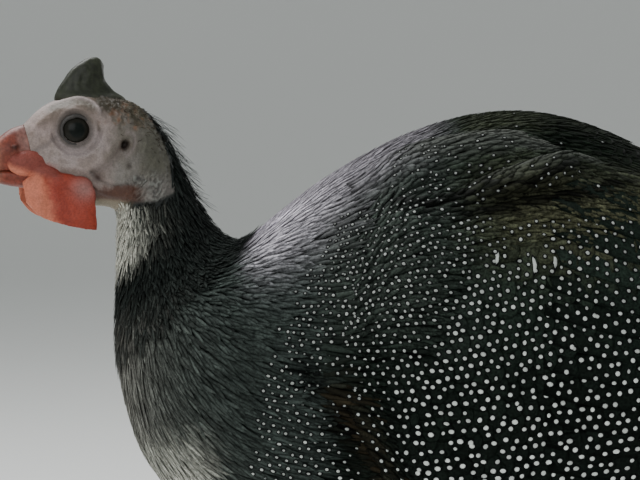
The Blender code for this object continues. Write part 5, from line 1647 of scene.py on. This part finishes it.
class FOWL_OT_body_coat(Operator):
    """Add the body feathers: soft slim ones in front, broad spotted ones behind them."""

    bl_idname = "fowl.add_body_coat"
    bl_label = "Add Body Coat"

    def execute(self, context):
        settings = context.scene.fowl_coat
        rng = np.random.default_rng(settings.seed + 1)
        sheet = body_sheet(context.scene.fowl_body.coat_depth)
        found = staggered_roots(sheet, (9.6 / LAST, 18.6 / LAST), (0, 1), 0.0025, 0.0021, rng, 0.28)
        found = found[:, self.kept(sheet, found, rng, True)]
        s = found[0] * LAST
        tint = ground_tint(sheet.at(found[0], found[1], 0.0), rng, 0.26)
        length = np.interp(s, (9.6, 12.0, 14.5, 18.6), (0.0105, 0.0125, 0.0145, 0.0185))
        half = np.interp(s, (9.6, 12.0, 14.5, 18.6), (0.00075, 0.0009, 0.0011, 0.0013))
        x, _, z = sheet.at(found[0], found[1], 0.0).T
        edge = np.interp(z, (0.165, 0.218, 0.270), (-0.047, -0.0745, -0.070))
        over = bell(x - edge + 0.006, 0.006) * (z > 0.16) * (z < 0.28)
        soft = coat_from(sheet, found, length * (1 + 0.5 * over), half, rng, tint, 0.13, 0.0,
                         tip=0.0016 + 0.0034 * over, kind=SLIM)
        step = settings.feather_step
        found = staggered_roots(sheet, (13.7 / LAST, 22.95 / LAST), (0, 1), step, step, rng)
        found = found[:, self.kept(sheet, found, rng, False)]
        broad = coat_from(sheet, found, step * 2.5, step * 0.90, rng, tip=0.0014, camber=0.06)
        for label, coat, material in (("soft", soft, "down"), ("broad", broad, "feather")):
            upper = sheet.at(coat.p, coat.q, 0.0)[:, 2] > UPPER_COAT
            for name, chosen in (("upper", upper), ("lower", ~upper)):
                part = part_of(coat, np.flatnonzero(chosen))
                name = label + "_feathers_" + name
                place_coat(name, sheet, part, settings.vane_thickness, material)
        field_spots("body", sheet, joined_coats(soft, broad), rng)
        return {"FINISHED"}

    def kept(self, sheet, found, rng, soft):
        """Which roots the wing leaves open and grow soft feathers, or broad ones."""
        roots, s = sheet.at(found[0], found[1], 0.0), found[0] * LAST
        depth = back_depth(roots[:, 0] - FORWARD_SHIFT, roots[:, 2]) + rng.normal(0, 0.002, len(s))
        first, last, deep = (15.4, 18.2, 0.027) if soft else (14.9, 17.2, 0.021)
        slim = (s < first) | ((depth < deep) & (s < last))
        return ~under_wing(roots) & (slim == soft)


# Places in side view of the few spots that are curved bars.
BARS = ((-0.0130, 0.2700), (0.0040, 0.2580), (0.0120, 0.2590))


class FOWL_OT_wings(Operator):
    """Add the folded wings: bed, coverts in rows, long flight feathers and their spots."""

    bl_idname = "fowl.add_wings"
    bl_label = "Add Wings"

    def execute(self, context):
        settings = context.scene.fowl_coat
        step = settings.wing_step

        def pace(p):
            return float(np.interp(p, (0, 0.15, 0.5), (0.0036, 0.0050, step)))

        for label, side in SIDES.items():
            rng = np.random.default_rng(settings.seed + 10)
            sheet = wing_sheet(side)
            add_core("wing_core_" + label, sheet, 0.0072, ("wing_" + label,))
            found = staggered_roots(sheet, (-0.015, 0.94), (0.0, 1.0), 0.0027, 0.0022, rng, 0.25)
            found = found[:, self.lesser(sheet, found, rng)]
            tint = ground_tint(sheet.at(found[0], found[1], 0.0), rng, 0.22)
            lesser = coat_from(sheet, found, 0.0115, 0.0012, rng, tint, 0.11, 0.0, tip=0.0016, kind=SLIM)
            lesser = lesser._replace(yaw=lesser.yaw + self.turn(sheet, lesser))
            found = staggered_roots(sheet, (-0.015, 0.74), (0.0, 1.0), pace, pace, rng)
            found = found[:, ~self.lesser(sheet, found, rng)]
            size = np.array([pace(p) for p in found[0]])
            coverts = coat_from(sheet, found, size * 2.5, size * 0.92, rng, tip=0.0013, camber=0.06)
            coverts = coverts._replace(yaw=coverts.yaw + self.turn(sheet, coverts))
            flight = self.flight(sheet, rng)
            for name, coat, thick in (
                ("lesser_coverts_", lesser, 0.00018), ("wing_coverts_", coverts, settings.vane_thickness),
                ("flight_feathers_", flight, 0.0003),
            ):
                place_coat(name + label, sheet, coat, thick, "feather")
            tips = on_blades(sheet, coverts, coverts.length * 0.9, coverts.p * 0.0, 0.0)[:, (0, 2)]
            tips = tips - (FORWARD_SHIFT, 0.0)
            bars = [int(np.argmin(np.hypot(*(tips - spot).T))) for spot in BARS]
            whole = joined_coats(coverts, flight, lesser)
            field_spots("wing_" + label, sheet, whole, rng, bars)
        return {"FINISHED"}

    def turn(self, sheet, coat):
        """How far blades near the wing's front turn to lie along the body's own feathers."""
        run, across = (sheet.read(grid, coat.p, coat.q)[:, (0, 2)] for grid in (sheet.dp, sheet.dq))
        way = np.array((0.990, -0.140))
        along = run[:, 0] * way[0] + run[:, 1] * way[1]
        aside = across[:, 0] * way[0] + across[:, 1] * way[1]
        turn = np.arctan2(aside / span(across), along / span(run))
        x = sheet.at(coat.p, coat.q, 0.0)[:, 0]
        return np.clip(turn, -0.2, 1.2) * (1 - eased((x + 0.045) / 0.06))

    def lesser(self, sheet, found, rng):
        """Which roots grow the small slim coverts of the wing's front and upper edge."""
        x, _, z = sheet.at(found[0], found[1], 0.0).T
        edge = np.interp(x, (-0.045, -0.025, 0.030), (0.225, 0.264, 0.276)) + rng.normal(0, 0.0025, len(x))
        rim = (found[1] < 0.11 + rng.normal(0, 0.02, len(x))) & (x > 0.02)
        return ((z > edge) & (x < 0.034)) | (found[0] < 0.05 + rng.normal(0, 0.01, len(x))) | rim

    def flight(self, sheet, rng):
        """Primaries low down, then secondaries, each lying over the upper edge of the one below."""
        rows = [(0.52, 0.97 - 0.30 * k, 0.100 + 0.004 * k, 0.0075, 0.0009, 0.0010, -0.10)
                for k in np.arange(7) / 6]
        rows += [(0.40 + 0.03 * k, 0.96 - 0.90 * k, 0.092 + 0.014 * math.sin(math.pi * k),
                  0.0092, 0.0012, 0.0016, 0.0) for k in np.arange(14) / 13]
        p, q, length, half, root, tip, yaw = np.array(rows).T
        length = np.maximum(length, (1.0 - p) * span(sheet.read(sheet.dp, p, q)))
        tint = ground_tint(sheet.at(p + 0.3, q, 0.0), rng)
        return make_coat(p, q, tint, yaw=yaw, length=length, half=half, root=root, tip=tip,
                         camber=0.05, lean=0.06, kind=LONG)


class FOWL_OT_tongues(Operator):
    """Add the two overlapping tongues of shoulder feathers on each side."""

    bl_idname = "fowl.add_tongues"
    bl_label = "Add Shoulder Feathers"

    def execute(self, context):
        settings = context.scene.fowl_coat
        for label, side in SIDES.items():
            rng = np.random.default_rng(settings.seed + 5)
            for name in ("lower", "upper"):
                sheet = tongue_sheet(name, side)
                title = name + "_shoulder_" + label
                add_core(title + "_bed", sheet, 0.0040, reach=0.90)
                found = staggered_roots(sheet, (-0.06, 0.97), (0.02, 0.98), 0.0030, 0.0024, rng, 0.25)
                p, q, _ = found
                tint = ground_tint(sheet.at(p, q, 0.0), rng, 0.28)
                pale = {"upper": 0.85, "lower": 0.35}[name] * eased((0.72 - q) / 0.45)
                tint = mixed(tint, (0.046, 0.051, 0.045), pale * eased(p / 0.3))
                rim = eased((0.26 - q) / 0.2) * eased((p - 0.2) / 0.3)
                tint = mixed(tint, (0.070, 0.075, 0.066), 0.7 * rim)
                coat = coat_from(sheet, found, 0.0105, 0.0015, rng, tint, 0.09, 0.0, tip=0.0011, kind=SLIM)
                place_coat(title, sheet, coat, 0.00018, "down")
                p, q, _, _ = lattice_places(sheet, rng)
                chosen = (rng.random(len(p)) < 0.40) & (p > 0.15)
                size = np.full(chosen.sum(), 0.00055)
                add_spots(title, sheet, coat, (p[chosen], q[chosen]), size, rng)
        return {"FINISHED"}


class FOWL_OT_tail(Operator):
    """Add the drooping tail: long feathers, with coverts above and below."""

    bl_idname = "fowl.add_tail"
    bl_label = "Add Tail"

    def execute(self, context):
        settings = context.scene.fowl_coat
        rng = np.random.default_rng(settings.seed + 20)
        roof, floor = tail_sheet(0.0, 1), tail_sheet(0.018, -1)
        spread = np.linspace(-1, 1, 14)
        tail = self.fan(roof, spread, 0.0, 0.082 - 0.012 * np.abs(spread), 0.0105, 0.0002, 0.0012, LONG, rng)
        above = [self.fan(roof, np.linspace(-0.9, 0.9, count), start, 0.036, 0.0088, root, lift, FINE, rng)
                 for start, root, lift, count in (
                     (0.17, 0.0060, 0.0045, 12), (0.09, 0.0110, 0.0060, 11), (0.01, 0.0150, 0.0090, 12),
                     (-0.07, 0.0165, 0.0130, 11), (-0.16, 0.0170, 0.0165, 10), (-0.26, 0.0165, 0.0180, 9))]
        eight = np.linspace(-0.9, 0.9, 8)
        below = [self.fan(floor, eight, start, 0.037, 0.0105, lift - 0.002, lift, FINE, rng)
                 for start, lift in ((0.20, 0.002), (0.02, 0.004), (-0.16, 0.0055))]
        for name, sheet, coat, replaced in (
            ("tail_feathers", roof, tail, ("tail",)),
            ("tail_coverts", roof, joined_coats(*above), ()),
            ("tail_under_coverts", floor, joined_coats(*below), ()),
        ):
            place_coat(name, sheet, coat, 0.0003, "feather", replaced)
        whole = joined_coats(tail, *above)
        for name, sheet, coat in (("tail", roof, whole), ("under_tail", floor, joined_coats(*below))):
            found = staggered_roots(sheet, (-0.25, 0.97), (-0.25, 1.25), 0.0044, 0.0050, rng, 0.1)
            size = rng.uniform(0.0008, 0.0011, found.shape[1])
            add_spots(name, sheet, coat, found[:2], size, rng)
        return {"FINISHED"}

    def fan(self, sheet, spread, start, length, half, root, tip, kind, rng):
        """A row of feathers side by side; the outer ones of a covert row lie lower."""
        p, q = np.full(len(spread), float(start)), 0.5 + 0.44 * spread
        tint = ground_tint(sheet.at(p, q, 0.0), rng)
        drop = 0.0050 * spread**2 if kind == FINE else 0.0
        yaw = rng.normal(0, 0.02, len(p))
        return make_coat(p, q, tint, yaw=yaw, length=length, half=half, root=root - drop, tip=tip - drop,
                         camber=0.12, lean=-0.05 * np.sign(spread), kind=kind)


# The shank's radii from its top down, and a toe's knuckles: shares of its length and of its radius.
SHANK_SHARES = (0.02, 0.10, 0.28, 0.50, 0.72, 0.88, SHANK_END, 1.0)
SHANK_RADII = (0.0062, 0.0068, 0.0068, 0.0060, 0.0044, 0.0040, 0.0041, 0.0046, 0.0054, 0.0060)
KNUCKLE_SHARES = (0.0, 0.18, 0.30, 0.42, 0.56, 0.68, 0.86, 1.0)
KNUCKLE_SWELL = (1.10, 1.0, 0.90, 1.02, 0.84, 0.94, 0.84, 0.62)


def limb(name, line, radii, front, pitch, double=False, horn=False):
    """A bare limb round a line of points, and its colours: scutes in front, small scales behind."""
    line = np.array([tuple(point) for point in line])
    t = np.linspace(0, len(line) - 1, max(int(span(np.diff(line, axis=0)).sum() / 0.00038), 20))
    centre, radius = catmull(line, t), catmull(np.array(radii)[:, None], t)
    way = np.gradient(centre, axis=0)
    across = unit(np.cross(way, front))
    ahead = unit(np.cross(across, way))
    run = run_along(centre)[:, None]
    a = np.linspace(-math.pi, math.pi, 16 if horn else 36, endpoint=False)[None]
    phase = (run / pitch + 0.5 * double * (a > 0)) % 1
    plate = eased((1.2 - np.abs(a)) / 0.2) * (1 - 0.9 * double * bell(a, 0.10)) * (not horn)
    turn = math.pi * run / 0.0014
    grain = np.abs(np.sin(turn + 4 * a) * np.sin(turn - 4 * a)) * (not horn)
    reach = radius + 0.00050 * plate * phase + 0.00020 * (1 - plate) * grain
    rings = centre[:, None] + ahead[:, None] * (np.cos(a) * reach)[..., None]
    rings += across[:, None] * (np.sin(a) * reach * (0.86 if double else 1))[..., None]
    rings[..., 2] = np.maximum(rings[..., 2], 0.0)
    shade = 0.62 + 0.55 * plate * np.minimum(phase * 4, 1) + 0.35 * (1 - plate) * grain
    colour = np.array((0.035, 0.029, 0.025) if horn else (0.078, 0.067, 0.057))
    patchy = fine_noise(rings.reshape(-1, 3), 120.0).reshape(rings.shape[:2])
    rusty = 0.45 * eased(patchy * 2) * (not horn)
    return tube_mesh(name, rings), with_ends(mixed(colour * shade[..., None], (0.13, 0.068, 0.034), rusty))


class FOWL_OT_legs(Operator):
    """Add the thighs' feathers, the scaly shanks and feet, and the claws."""

    bl_idname = "fowl.add_legs"
    bl_label = "Add Legs"

    def execute(self, context):
        settings = context.scene.fowl_coat

        def pace(p):
            return float(np.interp(p, (0, 0.6, 0.92), (0.0058, 0.0040, 0.0024)))

        for label, side in SIDES.items():
            rng = np.random.default_rng(settings.seed + 30)
            sheet = thigh_sheet(side)
            found = staggered_roots(sheet, (-0.25, 0.88), (0, 1), pace, pace, rng)
            size = np.array([pace(p) for p in found[0]])
            coat = coat_from(sheet, found, size * 2.4, size * 0.75, rng, tip=size * 0.22)
            thick = settings.vane_thickness
            place_coat("thigh_feathers_" + label, sheet, coat, thick, "feather")
            self.add_bare(label, side)
        return {"FINISHED"}

    def add_bare(self, label, side):
        """Shank, foot and claws of one leg."""
        def placed(point):
            return Vector((point.x + FORWARD_SHIFT, -side * point.y, point.z))

        thighward = (HOCK - HIP).normalized()
        top = HIP.lerp(HOCK, THIGH_END)
        line = [top, top + thighward * 0.003] + [HOCK.lerp(FOOT, t) for t in SHANK_SHARES]
        shank = limb("shank", [placed(p) for p in line], SHANK_RADII, (-1, 0, 0), 0.0034, double=True)
        pad = [placed(FOOT) + Vector((0, 0, 0.003 * k - 0.0065)) for k in range(4)]
        foot = [limb("pad", pad, (0.0066, 0.0078, 0.0070, 0.0056), (-1, 0, 0), 0.0022)]
        claws = []
        for name, (angle, length, radius, claw) in TOES.items():
            a = math.radians(angle)
            way = Vector((-math.cos(a), -side * math.sin(a), 0))
            high, low = (0.0078, 0.0032) if name == "hind" else (0.0072, 0.0036)
            line = []
            for share in KNUCKLE_SHARES:
                height = high + (low - high) * (share if name == "hind" else min(1, share / 0.3))
                line.append(placed(FOOT) + way * (0.004 + length * share) + Vector((0, 0, height - FOOT.z)))
            foot.append(limb("toe", line, [radius * k for k in KNUCKLE_SWELL], (0, 0, 1), 0.0019))
            end = line[-1]
            tip = [end - way * 0.001] + [end + way * claw * t - Vector((0, 0, (end.z - 0.0006) * t**1.6))
                                         for t in (0.12, 0.4, 0.7, 1.0)]
            sizes = [radius * 0.62 * k for k in (0.92, 0.88, 0.64, 0.38, 0.13)]
            claws.append(limb("claw", tip, sizes, (0, 0, 1), 1.0, horn=True))
        for name, parts, slot, material, nodes in (
            ("shank_scales_", [shank], "leg_skin", "leg", ("shank_" + label,)),
            ("foot_scales_", foot, "leg_skin", "leg", ("foot_" + label,)),
            ("claws_", claws, "claw_horn", "horn", tuple(f"claw_{toe}_{label}" for toe in TOES)),
        ):
            bm = bmesh.new()
            for mesh, _ in parts:
                bm.from_mesh(mesh)
            whole = bpy.data.meshes.new(name + label)
            bm.to_mesh(whole)
            bm.free()
            whole.shade_smooth()
            set_tint(whole, np.concatenate([tint for _, tint in parts]))
            place_piece(whole, material, nodes)


class FOWL_OT_stage(Operator):
    """Add the pale floor, the soft lights and the camera."""

    bl_idname = "fowl.add_stage"
    bl_label = "Add Stage"

    def execute(self, context):
        settings = context.scene.fowl_stage
        bpy.ops.object.select_all(action="DESELECT")
        curve = [(3.0 + 3.0 * math.sin(a), 3.0 - 3.0 * math.cos(a))
                 for a in np.linspace(0.1, math.pi / 2, 24)]
        line = np.array([(-20.0, 0.0), (3.0, 0.0), *curve, (6.0, 20.0)])
        grid = np.stack([stacked(x, line[:, 0], line[:, 1] - 0.0005) for x in (-25.0, 25.0)], 1)
        floor = linked("floor", new_mesh("floor", grid, grid_faces(len(line), 2, False)))
        material = bpy.data.materials.new("pale_floor")
        material.use_nodes = True
        shader = material.node_tree.nodes["Principled BSDF"]
        shader.inputs["Base Color"].default_value = (*settings.floor_colour, 1)
        shader.inputs["Roughness"].default_value = 0.9
        floor.data.materials.append(material)
        centre = Vector(settings.centre)
        away = Vector((
            math.sin(settings.azimuth) * math.cos(settings.elevation),
            -math.cos(settings.azimuth) * math.cos(settings.elevation),
            math.sin(settings.elevation),
        ))
        camera = bpy.data.cameras.new("camera")
        camera.sensor_width = 36
        camera.lens = camera.sensor_width * settings.distance / settings.view_width
        camera.clip_start = 0.01
        holder = linked("camera", camera)
        holder.location = centre + away * settings.distance
        holder.rotation_euler = (-away).to_track_quat("-Z", "Y").to_euler()
        context.scene.camera = holder
        for name, place, size, power in (
            ("key", (-0.55, 0.35, 1.35), 0.9, settings.key_power),
            ("fill", (-0.45, -1.30, 0.75), 0.9, settings.fill_power),
            ("rear", (1.10, 0.90, 0.70), 0.7, settings.fill_power * 0.8),
        ):
            light = bpy.data.lights.new(name, "AREA")
            light.size = size
            light.energy = power
            lamp = linked(name, light)
            lamp.location = place
            lamp.rotation_euler = (centre - Vector(place)).to_track_quat("-Z", "Y").to_euler()
        world = bpy.data.worlds.new("studio")
        world.use_nodes = True
        sky = world.node_tree.nodes["Background"]
        sky.inputs["Color"].default_value = (0.86, 0.89, 0.88, 1)
        sky.inputs["Strength"].default_value = 0.6
        context.scene.world = world
        return {"FINISHED"}


class FOWL_PT_panel(Panel):
    """Lists the steps and their settings."""

    bl_label = "Guinea Fowl"
    bl_idname = "FOWL_PT_panel"
    bl_space_type = "VIEW_3D"
    bl_region_type = "UI"
    bl_category = "Guinea Fowl"

    def draw(self, context):
        for step in STEPS:
            self.layout.operator(step.bl_idname)
        for group in ("fowl_body", "fowl_coat", "fowl_stage"):
            box = self.layout.box()
            settings = getattr(context.scene, group)
            for name in settings.bl_rna.properties.keys():
                if name not in ("rna_type", "name"):
                    box.prop(settings, name)


SETTINGS = {"fowl_body": BodySettings, "fowl_coat": CoatSettings, "fowl_stage": StageSettings}
STEPS = (
    FOWL_OT_skin, FOWL_OT_eyes, FOWL_OT_horn, FOWL_OT_wattles, FOWL_OT_neck_coat, FOWL_OT_body_coat,
    FOWL_OT_wings, FOWL_OT_tongues, FOWL_OT_tail, FOWL_OT_legs, FOWL_OT_stage,
)


def register():
    for kind in (*SETTINGS.values(), *STEPS, FOWL_PT_panel):
        bpy.utils.register_class(kind)
    for name, kind in SETTINGS.items():
        setattr(bpy.types.Scene, name, PointerProperty(type=kind))


def unregister():
    for name in SETTINGS:
        delattr(bpy.types.Scene, name)
    for kind in (FOWL_PT_panel, *reversed(STEPS), *SETTINGS.values()):
        bpy.utils.unregister_class(kind)


def main():
    register()
    make_materials()
    for step in STEPS:
        getattr(bpy.ops.fowl, step.bl_idname.split(".")[1])()


if __name__ == "__main__":
    main()
